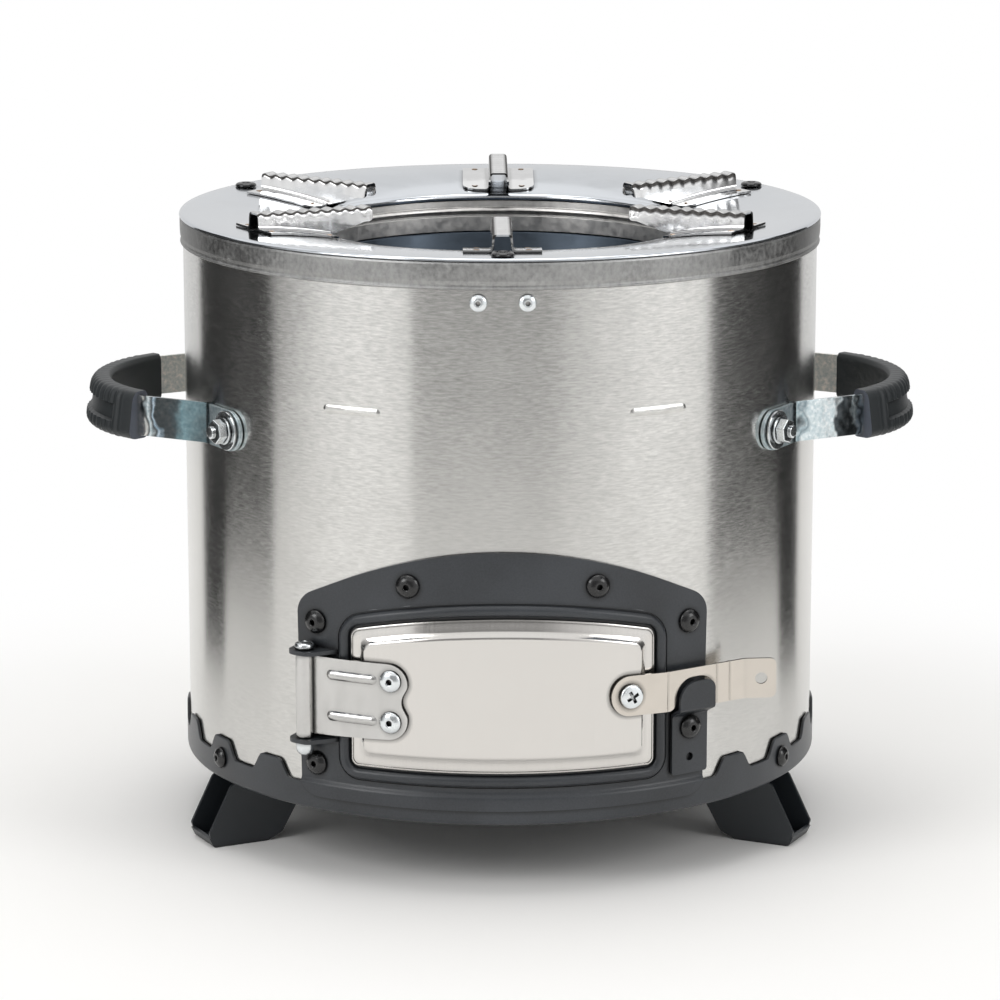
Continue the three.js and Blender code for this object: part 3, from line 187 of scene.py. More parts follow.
def hang_sheet(name, low, high, distance, stops):
    """A curved studio sheet, seen only in reflections, lit by (angle round the stove, level) stops."""
    first, last = stops[0][0], stops[-1][0]
    work = bmesh.new()
    foot = work.verts.new((
        distance * math.sin(math.radians(first)), -distance * math.cos(math.radians(first)), low,
    ))
    spin_round(work, [foot], last - first, 24)
    bmesh.ops.translate(work, verts=extruded(work), vec=(0, 0, high - low))
    paint, tree = new_material(name + "_cloth")
    at = add_node(tree, "TexCoord")
    parts = add_node(tree, "SeparateXYZ", links={0: (at, "Object")})
    front = add_node(tree, "Math", {1: -1.0}, {0: (parts, "Y")}, operation="MULTIPLY")
    turn = add_node(tree, "Math", links={0: (parts, "X"), 1: (front, "Value")}, operation="ARCTAN2")
    share = add_node(
        tree, "MapRange", {"From Min": math.radians(first), "From Max": math.radians(last)},
        {"Value": (turn, "Value")},
    )
    level = add_node(tree, "ValToRGB", links={"Fac": (share, "Result")})
    set_ramp(level, [((angle - first) / (last - first), value) for angle, value in stops])
    glow = add_node(tree, "Emission", {"Strength": 1.0}, {"Color": (level, "Color")})
    add_node(tree, "OutputMaterial", links={"Surface": (glow, "Emission")})
    hung = mesh_object(name, work, paint)
    hung.visible_camera = hung.visible_diffuse = hung.visible_shadow = False


hang_sheet("dark_sheet_left", 0.0, 0.55, 0.64, [(-126.5, 0.05), (-120, 0.03), (-100, 0.06), (-80.7, 0.06)])
hang_sheet("dark_board_left", 0.0, 0.5, 0.42, [(-119.7, 0.04), (-103, 0.04)])
hang_sheet("dark_sheet_right", 0.0, 0.55, 0.64, [
    (71.0, 0.5), (74.5, 0.12), (90, 0.07), (110, 0.04), (125.5, 0.03),
])
hang_sheet("dark_board_right", 0.0, 0.5, 0.4, [(104, 0.03), (119, 0.03)])
hang_sheet("grey_sheet_left", -3.5, 3.5, 4.5, [
    (-95, 0.28), (-90, 0.3), (-82, 0.44), (-74, 0.68), (-66, 0.9), (-58, 1.0),
])
hang_sheet("grey_sheet_back", -1.0, 2.4, 4.5, [(135, 0.78), (225, 0.78)])
hang_sheet("high_flag_left", 3.3, 6.6, 4.5, [(-86, (0.02, 0.03, 0.05, 1)), (-50, (0.05, 0.07, 0.1, 1))])
hang_sheet("high_flag_right", 3.3, 6.6, 4.5, [(50, (0.05, 0.07, 0.1, 1)), (86, (0.02, 0.03, 0.05, 1))])
hang_sheet("grey_sheet_front", -3.5, 3.5, 4.5, [(-31.5, 0.33), (15, 0.37), (25, 0.66), (36, 0.84), (48, 1.0)])


def soft_lamp(name, place, size, power):
    """A rectangular soft lamp aimed at the middle of the stove."""
    lamp = in_scene(name, bpy.data.lights.new(name, "AREA"))
    lamp.data.shape = "RECTANGLE"
    lamp.data.size, lamp.data.size_y = size
    lamp.data.energy = power
    lamp.location = place
    lamp.rotation_euler = (Vector((0, 0, 0.15)) - Vector(place)).to_track_quat("-Z", "Y").to_euler()


soft_lamp("lamp_left", (-2.2, -1.6, 1.9), (1.4, 1.4), 26)
soft_lamp("lamp_right", (2.3, -1.4, 1.6), (1.2, 1.4), 16)
soft_lamp("lamp_above", (0.0, 0.3, 2.6), (1.6, 1.6), 20)


# Drum: one sheet of stainless steel rolled round and brushed along its girth, with the door hole cut
# low in the front. Brushing gives fine level lines that draw every reflection out upright.
body_radius = 148.25
body_sheet = 1.25
body_bottom = 33.6
body_top = 285.3
strip_width = 2.4


def arc(centre, radius, first, last, steps):
    """Points on an arc, angles in degrees."""
    turns = [math.radians(first + (last - first) * step / steps) for step in range(steps + 1)]
    return [(centre[0] + radius * math.cos(t), centre[1] + radius * math.sin(t)) for t in turns]


def rounded(corners, closed=True, steps=6):
    """A polyline whose corners (x, y, radius) are rounded."""
    points = []
    count = len(corners)
    for at, (x, y, *radius) in enumerate(corners):
        corner = Vector((x, y))
        radius = radius[0] if radius else 0
        if radius == 0 or (not closed and at in (0, count - 1)):
            points.append((x, y))
            continue
        back = (Vector(corners[at - 1][:2]) - corner).normalized()
        on = (Vector(corners[(at + 1) % count][:2]) - corner).normalized()
        half = math.acos(max(-1, min(1, back.dot(on)))) / 2
        cut = radius / math.tan(half)
        centre = corner + (back + on).normalized() * radius / math.sin(half)
        start, end = corner + back * cut - centre, corner + on * cut - centre
        sweep = start.angle_signed(end)
        for step in range(steps + 1):
            turned = start.copy()
            turned.rotate(Matrix.Rotation(-sweep * step / steps, 2))
            points.append(tuple(centre + turned))
    return points


def join_work(*works):
    """Several meshes being made, as one."""
    whole = works[0]
    for other in works[1:]:
        carrier = bpy.data.meshes.new("carrier")
        other.to_mesh(carrier)
        whole.from_mesh(carrier)
        bpy.data.meshes.remove(carrier)
        other.free()
    return whole


def chain(work, points, closed=False):
    """A line of points joined by edges, as its vertices and its edges."""
    line = [work.verts.new(point) for point in points]
    follow = line[1:] + (line[:1] if closed else [])
    return line, [work.edges.new(pair) for pair in zip(line, follow)]


def flat_sheet(outlines, out):
    """A flat sheet inside the first outline, with the others as holes, standing at a distance out."""
    work = bmesh.new()
    edges = []
    for outline in outlines:
        edges += chain(work, [(x, -out, z) for x, z in outline], closed=True)[1]
    bmesh.ops.triangle_fill(work, use_beauty=True, use_dissolve=False, edges=edges, normal=(0, -1, 0))
    return work


def cut_strips(work, axis=0, width=strip_width, places=None):
    """Cuts the work across in even strips, or at given places, so that it can bend."""
    if places is None:
        ends = [v.co[axis] for v in work.verts]
        places = [at * width for at in range(math.ceil(min(ends) / width), math.floor(max(ends) / width) + 1)]
    normal = Vector((0, 0, 0))
    normal[axis] = 1
    for at in places:
        bmesh.ops.bisect_plane(
            work, geom=work.verts[:] + work.edges[:] + work.faces[:], dist=0.0005,
            plane_co=normal * at, plane_no=normal,
        )
    return work


def wrap(work):
    """Bends work that lies flat in front of the drum round it; x becomes the way round."""
    for v in work.verts:
        turn, out = v.co.x / body_radius, -v.co.y
        v.co.x, v.co.y = out * math.sin(turn), -out * math.cos(turn)
    return work


def finish(
    name, work, material, body, nodes=(), wall=0.0, edge=0.0, crease=40, merge=0.002, turn_out=True,
    even=True,
):
    """Turns a work in millimetres into a piece: merged, given its wall and rounded edges, and placed."""
    bmesh.ops.remove_doubles(work, verts=work.verts, dist=merge)
    if turn_out:
        bmesh.ops.recalc_face_normals(work, faces=work.faces)
    bmesh.ops.scale(work, vec=(mm, mm, mm), verts=work.verts)
    piece = mesh_object(name, work, material)
    piece.data.shade_smooth()
    if wall:
        solid = piece.modifiers.new("wall", "SOLIDIFY")
        solid.thickness, solid.offset, solid.use_even_offset = wall * mm, -1, even
    if edge:
        bevel = piece.modifiers.new("edge", "BEVEL")
        bevel.width, bevel.segments, bevel.angle_limit = edge * mm, 2, math.radians(50)
        bevel.harden_normals = bevel.use_clamp_overlap = True
    if wall or edge:
        seen_mesh = piece.evaluated_get(bpy.context.evaluated_depsgraph_get())
        piece.data = bpy.data.meshes.new_from_object(seen_mesh)
        piece.modifiers.clear()
    if not edge:
        piece.data.set_sharp_from_angle(angle=math.radians(crease))
    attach(piece, body)
    if nodes:
        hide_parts(*nodes)
    return piece


def shades(colour, share):
    """A hex colour made darker and lighter by a share."""
    base = linear(colour)[:3]
    return [tuple(min(1, c * (1 + change)) for c in base) + (1,) for change in (-share, share)]


def paint_crevice_shade(tree, tone, power, reach=2.5):
    """Painted shade: the tone made darker where other surfaces stand within a reach in millimetres."""
    open_share = add_node(tree, "AmbientOcclusion", {"Distance": reach * mm}, samples=8)
    depth = add_node(tree, "Math", {1: power}, {0: (open_share, "AO")}, operation="POWER")
    return add_node(
        tree, "Mix", {"Factor": 1.0}, {"A": tone, "B": (depth, "Value")},
        data_type="RGBA", blend_type="MULTIPLY",
    )


def metal(
    name, colour, rough, grain, streak=0.04, spread=0.06, bump=0.0, anisotropic=0.0, blotch=0.0, wave=0.0,
    crevice_shade=0.0,
):
    """A bare metal, its grain stretched by a scale per axis in grains per metre.

    Streak is how far the grain changes its tone, spread how far it changes its roughness, and blotch how
    much soft wide clouds add to both. Bump and wave are the fine and the wide relief in millimetres, and
    the crevice setting how dark the painted shade in its corners and beside other parts gets.
    """
    made, tree = new_material(name)
    at = add_node(tree, "TexCoord")
    stretched = add_node(tree, "Mapping", {"Scale": grain}, {"Vector": (at, "Object")})
    lines = add_node(
        tree, "TexNoise", {"Scale": 1.0, "Detail": 4.0, "Roughness": 0.6},
        {"Vector": (stretched, "Vector")},
    )
    clouds = add_node(tree, "TexNoise", {"Scale": 45.0, "Detail": 3.0}, {"Vector": (at, "Object")})
    shift = add_node(
        tree, "MapRange", {"To Min": -blotch, "To Max": blotch, "From Min": 0.3, "From Max": 0.7},
        {"Value": (clouds, "Fac")},
    )
    both = add_node(tree, "Math", links={0: (lines, "Fac"), 1: (shift, "Result")}, operation="ADD")
    tone = add_node(tree, "ValToRGB", links={"Fac": (both, "Value")})
    dark, light = shades(colour, streak)
    set_ramp(tone, [(0.25, dark), (0.75, light)])
    gloss = add_node(
        tree, "MapRange",
        {"From Min": 0.3, "From Max": 0.7, "To Min": rough - spread, "To Max": rough + spread},
        {"Value": (both, "Value")},
    )
    links = {"Base Color": (tone, "Color"), "Roughness": (gloss, "Result")}
    # Painted shade: the colour is darkened where other surfaces stand close.
    if crevice_shade:
        links["Base Color"] = (paint_crevice_shade(tree, (tone, "Color"), crevice_shade), "Result")
    if bump or wave:
        fine = add_node(tree, "Math", {1: bump}, {0: (lines, "Fac")}, operation="MULTIPLY")
        height = add_node(
            tree, "Math", {1: wave}, {0: (clouds, "Fac"), 2: (fine, "Value")}, operation="MULTIPLY_ADD",
        )
        relief = add_node(tree, "Bump", {"Strength": 1.0, "Distance": mm}, {"Height": (height, "Value")})
        links["Normal"] = (relief, "Normal")
    values = {"Metallic": 1.0}
    if anisotropic:
        # A quarter turn puts the blur across the brushing, which runs round the upright axis.
        values |= {"Anisotropic": anisotropic, "Anisotropic Rotation": 0.25}
        grain_way = add_node(tree, "Tangent", direction_type="RADIAL", axis="Z")
        links["Tangent"] = (grain_way, "Tangent")
    shader = add_node(tree, "BsdfPrincipled", values, links)
    add_node(tree, "OutputMaterial", links={"Surface": (shader, "BSDF")})
    return made


# Level brushing lines about 0.8 mm apart and 4 mm long, drawn coarser than the real 0.1 mm.
brushed_stainless = metal(
    "brushed_stainless", "#D2D1CE", 0.22, (230, 230, 1300), streak=0.17, spread=0.04, anisotropic=0.8,
    blotch=0.05,
)

door_hole = [(-59.5, 62), (59.5, 62), (59.5, 113), (0, 123.5), (-59.5, 113)]
half_girth = math.pi * body_radius
drum = flat_sheet([
    [(-half_girth, body_bottom), (half_girth, body_bottom), (half_girth, body_top), (-half_girth, body_top)],
    rounded([(x, z, 8) for x, z in door_hole]),
], body_radius)
cut_strips(drum, width=half_girth / 180)
wrap(drum)
finish(
    "outer_drum", drum, brushed_stainless, "stove", ["outer_shell"], wall=body_sheet,
    merge=0.02,
)


# Two short level beads pressed out of the drum's front, left and right of its bare middle.
# They are raised half a millimetre with soft flanks.
def nested(work, lines):
    """Bridges a row of like outlines, each a list of (x, z) points with its distance out."""
    rings = [chain(work, [(x, -out, z) for x, z in line], closed=True)[1] for line, out in lines]
    for first, second in zip(rings, rings[1:]):
        bmesh.ops.bridge_loops(work, edges=first + second)
    return rings


def pressed_bead(centre, length, width, height, out):
    """A raised capsule with soft flanks, lying flat in front of the drum at a distance out."""
    straight = (length - width) / 2
    side = [straight * (1 - at / 12) for at in range(1, 24)]
    lines = []
    for share in [at / 10 for at in range(10)] + [0.98]:
        half = width / 2 * (1 - share)
        line = arc((straight, 0), half, -90, 90, 10) + [(x, half) for x in side]
        line += arc((-straight, 0), half, 90, 270, 10) + [(-x, -half) for x in side]
        rise = height * share * (2 - share) if share > 0.3 else height * share * 1.7
        lines.append(([(centre[0] + x, centre[1] + z) for x, z in line], out + rise))
    work = bmesh.new()
    rings = nested(work, lines)
    bmesh.ops.holes_fill(work, edges=rings[-1], sides=0)
    return work


bead_gap = 0.02
dash_round = 70.6
dash_shift = 1.2
dash_level = 217.8
dash_length = 28.4
dash_width = 3.8
dash_rise = 0.55
for side, facing in (("left", -1), ("right", 1)):
    dash_centre = (facing * dash_round + dash_shift, dash_level)
    dash = wrap(pressed_bead(dash_centre, dash_length, dash_width, dash_rise, body_radius + bead_gap))
    finish("drum_bead_" + side, dash, brushed_stainless, "stove", crease=60)


# Rim band: a zinc coated strip rolled round the drum's top, its lower edge drawn in against the drum.
# The coating is dull, with fine scuffs and darker patches.
def revolve(profile, steps=240, closed=True):
    """A profile of (radius, height) points turned round the drum's axis."""
    work = bmesh.new()
    line, edges = chain(work, [(0, -radius, height) for radius, height in profile], closed)
    spin_round(work, line + edges, 360, steps)
    return work


galvanised = metal(
    "galvanised_sheet", "#A3A3A2", 0.46, (520, 520, 420), streak=0.26, spread=0.1, bump=0.035, blotch=0.14,
    wave=0.3,
)
band = revolve(rounded([
    (148.5, 274.4), (149.15, 274.4, 0.5), (149.75, 275.0, 0.4), (149.15, 275.7, 0.4), (149.0, 276.5, 0.6),
    (149.6, 278.3, 2.0), (149.75, 282), (149.75, 285.6, 0.8), (149.35, 286.6, 0.3), (148.5, 286.6),
], steps=4))
finish("rim_band_rolled", band, galvanised, "stove", ["rim_band"], crease=50)


# Top plate: a bright sheet pressed into a shallow dish, its edge rolled over the band and its mouth
# turned down into the collar. Its bright rolled face mirrors the studio with only a faint haze.
rim_height = 288.4
dish_depth = 6.35
dish_outer = 148.7
dish_inner = 90.1
plate_sheet = 1.1


def dish_height(radius):
    """The dished plate's upper face."""
    run = (dish_outer - radius) / (dish_outer - dish_inner)
    return rim_height - dish_depth * run * run


bright_sheet = metal(
    "bright_rolled_sheet", "#D6DADF", 0.12, (60, 60, 60), streak=0.03, spread=0.04, blotch=0.1, crevice_shade=1.2,
)
plate_top = [(r, dish_height(r)) for r in [dish_outer - (dish_outer - 91) * s / 24 for s in range(25)]]
lip = arc((90.1, 280.2), 1.85, 78, 180, 8)
plate_line = [(147.8, 286.85), (149.7, 286.9), (150.0, 287.2)] + arc((148.8, 287.2), 1.2, 0, 80, 6)
plate_line += plate_top[1:] + lip + [(88.3, 279.2), (89.3, 279.2)]
plate_line += [(r, h - plate_sheet) for r, h in reversed(plate_top[2:])]
finish(
    "top_plate_dished", revolve(plate_line), bright_sheet, "stove", ["top_plate"], crease=50,
)


# Collar inside the mouth: a rolled ring of stainless steel with one bead over a plain wall.
# Heat has left its face dull and blotched.
collar_steel = metal(
    "heat_tinted_stainless", "#E4E2DF", 0.4, (260, 260, 300), streak=0.14, spread=0.1, bump=0.01, blotch=0.14,
    wave=0.25, crevice_shade=1.2,
)
collar_line = rounded([
    (90.6, 278.8), (89.2, 278.8, 0.4), (89.2, 275.3, 0.5), (88.0, 275.0, 0.5), (87.4, 273.9, 0.8),
    (88.0, 272.7, 0.5), (89.0, 272.4, 0.3), (89.0, 271.6, 0.3), (88.5, 271.0, 0.3), (88.7, 263.9),
    (95.6, 263.9, 0.3), (95.6, 264.9, 0.3), (89.8, 264.9, 0.4), (90.6, 270.8),
], steps=4)
finish("mouth_collar", revolve(collar_line), collar_steel, "stove", ["inner_collar"], crease=60)


# Fire bowl: a cone of heated sheet under the collar, with a ledge at its foot for the grate.
# Heat has dulled it to a blotched blue grey.
bowl_steel = metal(
    "heat_blued_steel", "#464E57", 0.42, (60, 60, 120), streak=0.25, spread=0.1, bump=0.04, blotch=0.15,
)
bowl_line = rounded([
    (88.4, 263.4, 1.0), (95.6, 263.4), (95.6, 262.4), (89.4, 262.4, 1.0), (71.2, 172.5), (56.1, 172.5),
    (56.1, 173.6), (70.1, 173.6, 1.0),
], steps=4)
finish("fire_bowl", revolve(bowl_line), bowl_steel, "stove", ["chamber_liner"], crease=50)


# Charcoal grate: a loose round iron casting with level slots and a lift hole, on the bowl's ledge.
# Sand casting leaves a pitted, dark, uneven face.
cast_iron = metal(
    "sand_cast_iron", "#3A3B3D", 0.62, (500, 500, 500), streak=0.3, spread=0.12, bump=0.15, crevice_shade=1.5,
)
grate_low, grate_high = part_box("charcoal_grate")
grate_radius = grate_high.x / mm
grate_height = grate_high.z / mm
grate_rim = 11
slot_half = 3.5
slot_pitch = 13
lift_hole = 5
lift_land = 15.5


def face_up(work):
    """Turns a sheet's faces to look along +Z."""
    bmesh.ops.recalc_face_normals(work, faces=work.faces)
    if sum(f.normal.z for f in work.faces) < 0:
        bmesh.ops.reverse_faces(work, faces=work.faces)


grate_slots = []
for row in range(-3, 4):
    across = slot_pitch * row
    reach = math.sqrt((grate_radius - grate_rim) ** 2 - (abs(across) + slot_half) ** 2) - slot_half
    for left, right in ((-reach, reach),) if row else ((-reach, -lift_land), (lift_land, reach)):
        grate_slots.append(
            arc((right, across), slot_half, -90, 90, 8) + arc((left, across), slot_half, 90, 270, 8)
        )
grate_work = flat_sheet(
    [arc((0, 0), grate_radius, 0, 357, 119), arc((0, 0), lift_hole, 0, 345, 23)] + grate_slots, 0,
)
for v in grate_work.verts:
    v.co = (v.co.x, v.co.z, grate_height)
face_up(grate_work)
finish(
    "cast_charcoal_grate", grate_work, cast_iron, "grate", ["charcoal_grate"],
    wall=(grate_high.z - grate_low.z) / mm, edge=0.6, turn_out=False,
)


# Base pan: pressed sheet under the drum, its wall cut into low scallops that hug the drum.
# It is powder coated dark grey, which leaves a fine grain and a soft sheen.
def coating(name, colour, rough, grain, relief, tone=0.12, coat=0.0, crevice_shade=1.0):
    """A dyed or painted surface with a fine grain in grains per metre and its relief in millimetres.

    Tone is how far grain and clouds change the colour, coat the weight of a clear gloss over it, and the
    crevice setting how dark the painted shade in its corners and beside other parts gets.
    """
    made, tree = new_material(name)
    at = add_node(tree, "TexCoord")
    grains = add_node(
        tree, "TexNoise", {"Scale": grain, "Detail": 3.0, "Roughness": 0.6}, {"Vector": (at, "Object")},
    )
    clouds = add_node(tree, "TexNoise", {"Scale": grain / 60, "Detail": 2.0}, {"Vector": (at, "Object")})
    both = add_node(
        tree, "Math", {1: 0.5}, {0: (grains, "Fac"), 2: (clouds, "Fac")}, operation="MULTIPLY_ADD",
    )
    shade = add_node(tree, "ValToRGB", links={"Fac": (both, "Value")})
    dark, light = shades(colour, tone)
    set_ramp(shade, [(0.5, dark), (1.0, light)])
    # Painted shade: the colour is darkened where other surfaces stand close.
    deep = paint_crevice_shade(tree, (shade, "Color"), crevice_shade)
    bumps = add_node(
        tree, "Bump", {"Strength": 1.0, "Distance": relief * mm}, {"Height": (grains, "Fac")},
    )
    gloss = add_node(
        tree, "MapRange", {"To Min": rough - 0.06, "To Max": rough + 0.06}, {"Value": (grains, "Fac")},
    )
    shader = add_node(
        tree, "BsdfPrincipled", {"IOR": 1.5, "Coat Weight": coat, "Coat Roughness": 0.15},
        {"Base Color": (deep, "Result"), "Roughness": (gloss, "Result"), "Normal": (bumps, "Normal")},
    )
    add_node(tree, "OutputMaterial", links={"Surface": (shader, "BSDF")})
    return made


powder_coat = coating("grey_powder_coat", "#33363A", 0.34, 1300, 0.05, tone=0.35, crevice_shade=2.5)
pan_radius = 149.8
pan_bottom = 32.0
pan_corner = 2.4
pan_sheet = 1.25
valley_height = 44.5
lobe_height = 52.8
lobe_pitch = 15
lobe_root = 4.9
lobe_crest = 2.1
frame_half_turn = 36


def eased(share):
    """A share held between 0 and 1, with a soft start and end."""
    share = max(0, min(1, share))
    return share * share * (3 - 2 * share)


def scallop(angle):
    """Height of the pan's wall at an angle from the front."""
    beside = abs((angle + lobe_pitch / 2) % lobe_pitch - lobe_pitch / 2)
    if abs(angle) < frame_half_turn:
        return valley_height
    rise = eased((lobe_root - beside) / (lobe_root - lobe_crest))
    return valley_height + (lobe_height - valley_height) * rise


pan_inner = pan_radius - pan_sheet
wall_start = pan_bottom + 8
heights = [wall_start + (lobe_height - 0.5 - wall_start) * s / 10 for s in range(11)]
pan_line = [(0, pan_bottom)] + arc((pan_radius - pan_corner, pan_bottom + pan_corner), pan_corner, -90, 0, 6)
pan_line += [(pan_radius, z) for z in heights] + arc((pan_radius - 0.4, lobe_height - 0.4), 0.4, 20, 90, 3)
pan_line += arc((pan_inner + 0.3, lobe_height - 0.3), 0.3, 90, 160, 2)
pan_line += [(pan_inner, z) for z in reversed(heights)] + [(pan_inner, pan_bottom + pan_corner)]
pan_line += [(pan_inner - 1.1, pan_bottom + pan_sheet), (0, pan_bottom + pan_sheet)]
pan = revolve(pan_line, steps=720, closed=False)
for v in pan.verts:
    if v.co.z > wall_start:
        share = (v.co.z - wall_start) / (lobe_height - wall_start)
        v.co.z += (scallop(math.degrees(math.atan2(v.co.x, -v.co.y))) - lobe_height) * share
finish("scalloped_pan", pan, powder_coat, "stove", ["base_pan"], crease=50)


# Door frame: one pressed plate over the drum's front, arched above, with a rolled bead round the
# door's seat and two ears for the hinge. Powder coated like the pan, and stepped out over it.
frame_radius = 149.85
frame_sheet = 1.3
step_top = 47.6
step_tall = 3
step_out = 1.55
door_half = 69.0
door_bottom = 56.6
door_top = 127.4
door_arch = 290.0
door_corner = 3.2


def door_line(inset, steps=8, spans=60):
    """The door's edge moved in by an inset, as (way round, height) points with the same count each time."""
    half, corner = door_half - inset, door_corner + max(-inset, 0)
    flat = half - corner
    lower = [(flat * (2 * at / spans - 1), 0) for at in range(1, spans)]
    right = [(flat + x, y) for x, y in arc((0, corner), corner, -90, 0, steps)]
    left = [(-x, y) for x, y in reversed(right)]
    bottom_line = [(x, door_bottom + inset + y) for x, y in left + lower + right]

    def arched(x, drop):
        return x, door_top - inset - (door_arch - math.sqrt(door_arch ** 2 - x ** 2)) - drop
    return bottom_line + [arched(x, y) for x, y in reversed(left + lower + right)]


def way_round(x, radius=frame_radius):
    """The way round the drum, at its own radius, of a point seen at x from the front."""
    return body_radius * math.asin(x / radius)


frame_outline = [(way_round(x), z) for x, z in rounded([
    (-90.6, 39.3, 9), (90.6, 39.3, 9), (92.1, 130.6, 12), (0, 177.6, 165), (-92.1, 130.6, 12),
], steps=20)]
bead_profile = [
    (-7.9, 0), (-7.1, 0), (-6.9, -0.3), (-6.6, -0.25), (-6.45, 0.2), (-6.1, 0.95), (-5.5, 1.6), (-4.8, 2.0),
    (-3.9, 2.15), (-3.0, 2.0), (-2.3, 1.6), (-1.7, 0.95), (-1.35, 0.2), (-1.2, -0.5), (1.0, -0.5),
    (7.5, -0.5),
]
frame_work = flat_sheet([frame_outline, door_line(bead_profile[0][0])], frame_radius)
cut_strips(frame_work, axis=2, places=[44.6, 45.1, 45.7, 46.4, 47.0, step_top])
for v in frame_work.verts:
    v.co.y -= step_out * eased((step_top - v.co.z) / step_tall)
cut_strips(frame_work)
nested(frame_work, [(door_line(inset), frame_radius + rise) for inset, rise in bead_profile])
bmesh.ops.remove_doubles(frame_work, verts=frame_work.verts, dist=0.003)
wrap(frame_work)
finish(
    "pressed_door_frame", frame_work, powder_coat, "stove", ["door_frame"],
    wall=frame_sheet, edge=0.35, merge=0.003,
)


# Hinge ears: two level tabs bent out of the frame's left edge, rounded where they hold the pin.
# They are of the frame's own sheet and carry its powder coat.
def around(angle, radius, height):
    """A frame on the drum: X the way round, Y up and Z outward, angle in degrees from the front."""
    out = Vector((math.sin(math.radians(angle)), -math.cos(math.radians(angle)), 0))
    up = Vector((0, 0, 1))
    turn = Matrix((up.cross(out), up, out)).transposed().to_4x4()
    return Matrix.Translation(out * radius + up * height) @ turn


def move(work, matrix):
    """Moves the whole work by a matrix."""
    bmesh.ops.transform(work, matrix=matrix, verts=work.verts)
    return work


hinge_turn = -34.629
hinge_radius = 156.05
ear_sheet = 1.8
ear_outline = rounded([(-8, -6.9), (-6.1, 6.1, 5.7), (6.1, 6.1, 5.7), (14, -7.3)], steps=8)
for place_name, level in (("lower", 66.1), ("upper", 106.9)):
    ear = flat_sheet([ear_outline], 0)
    bmesh.ops.translate(ear, verts=extruded(ear), vec=(0, ear_sheet, 0))
    # The outline lies as x round and z outward; the frame on the drum wants y up, so y is the height.
    move(ear, around(hinge_turn, hinge_radius, level))
    finish("hinge_ear_" + place_name, ear, powder_coat, "stove", edge=0.4)


# Air door: a bright stainless pressing with a flat flange, a sloped border and a raised panel.
# Its face is smooth and warm grey where it mirrors the table.
door_steel = metal(
    "pressed_bright_stainless", "#D9D6D2", 0.14, (1500, 60, 60), streak=0.03, spread=0.04, blotch=0.1,
    wave=0.12, crevice_shade=2.5,
)
door_profile = [
    (0.55, 150.2), (0, 150.4), (0, 150.6), (0.4, 150.8), (2.6, 151.05), (4.6, 151.25), (5.2, 151.4),
    (7.0, 152.9), (7.5, 153.25), (8.1, 153.4), (8.8, 153.36), (9.6, 153.36),
]
door_work = bmesh.new()
nested(door_work, [(door_line(inset), out) for inset, out in door_profile])
door_panel = cut_strips(flat_sheet([door_line(door_profile[-1][0])], door_profile[-1][1]))
door_work = wrap(join_work(door_work, door_panel))
finish(
    "pressed_air_door", door_work, door_steel, "door", ["air_door"], wall=0.9, crease=60,
    merge=0.003,
)


# Hinge strap: a leaf of stainless sheet rolled round the pin, with two pressed ribs and a lobed end.
# Its satin mill finish is duller than the door's face and softly clouded.
strap_steel = metal(
    "satin_strap_steel", "#C9C8C6", 0.2, (200, 200, 60), streak=0.08, spread=0.06, blotch=0.18,
    wave=0.5, crevice_shade=1.8,
)
strap_radius = 154.9
strap_left, strap_right = -88.7, -42.47
strap_levels = {"upper": 98.25, "lower": 79.35}
rib_across = -67.6
rib_length = 24
rib_width = 4.6
rib_rise = 1.1
strap_outline = [(way_round(x, strap_radius), z) for x, z in rounded([
    (strap_left, 69.7), (strap_right, 71.6, 9), (strap_right, 82.0, 4), (strap_right - 3.6, 88.8, 7),
    (strap_right, 95.6, 4), (strap_right, 106, 9), (strap_left, 105.9),
], steps=8)]
strap_work = wrap(cut_strips(flat_sheet([strap_outline], strap_radius)))
finish("hinge_leaf", strap_work, strap_steel, "door", wall=1.2, edge=0.5)
for place_name, height in strap_levels.items():
    rib_centre = (way_round(rib_across, strap_radius), height)
    rib = wrap(pressed_bead(rib_centre, rib_length, rib_width, rib_rise, strap_radius + bead_gap))
    finish("hinge_rib_" + place_name, rib, strap_steel, "door", crease=70)

pin_place = Matrix.Translation(around(hinge_turn, hinge_radius, 0).translation)
barrel_radius = 4
barrel_low, barrel_tall = 68.2, 38.4
seam_turn = math.radians(100)
barrel_round = 350
barrel = bmesh.new()
seam_start = Vector((barrel_radius * math.cos(seam_turn), barrel_radius * math.sin(seam_turn), barrel_low))
seam, edges = chain(barrel, [seam_start, seam_start + Vector((0, 0, barrel_tall))])
spin_round(barrel, seam + edges, barrel_round, 48)
move(barrel, pin_place)
bmesh.ops.recalc_face_normals(barrel, faces=barrel.faces)
axis_place = pin_place.translation
inward = [f for f in barrel.faces if (f.calc_center_median() - axis_place).xy.dot(f.normal.xy) < 0]
bmesh.ops.reverse_faces(barrel, faces=inward)
finish(
    "hinge_barrel", barrel, strap_steel, "door", ["hinge_strap"], wall=1.6, edge=0.25,
    turn_out=False,
)


# Hinge pin: a long pan head screw down through the ears and barrel, closed by a domed nut below.
# Both are zinc plated, which gives them a bright, faintly blue face with a fine grain.
def turned(profile, matrix, steps=40):
    """A small turned piece from (radius, distance out) points, placed by a frame on the drum."""
    work = bmesh.new()
    line, edges = chain(work, [(radius, 0, out) for radius, out in profile])
    spin_round(work, line + edges, 360, steps)
    bmesh.ops.remove_doubles(work, verts=work.verts, dist=0.002)
    bmesh.ops.recalc_face_normals(work, faces=work.faces)
    return move(work, matrix)


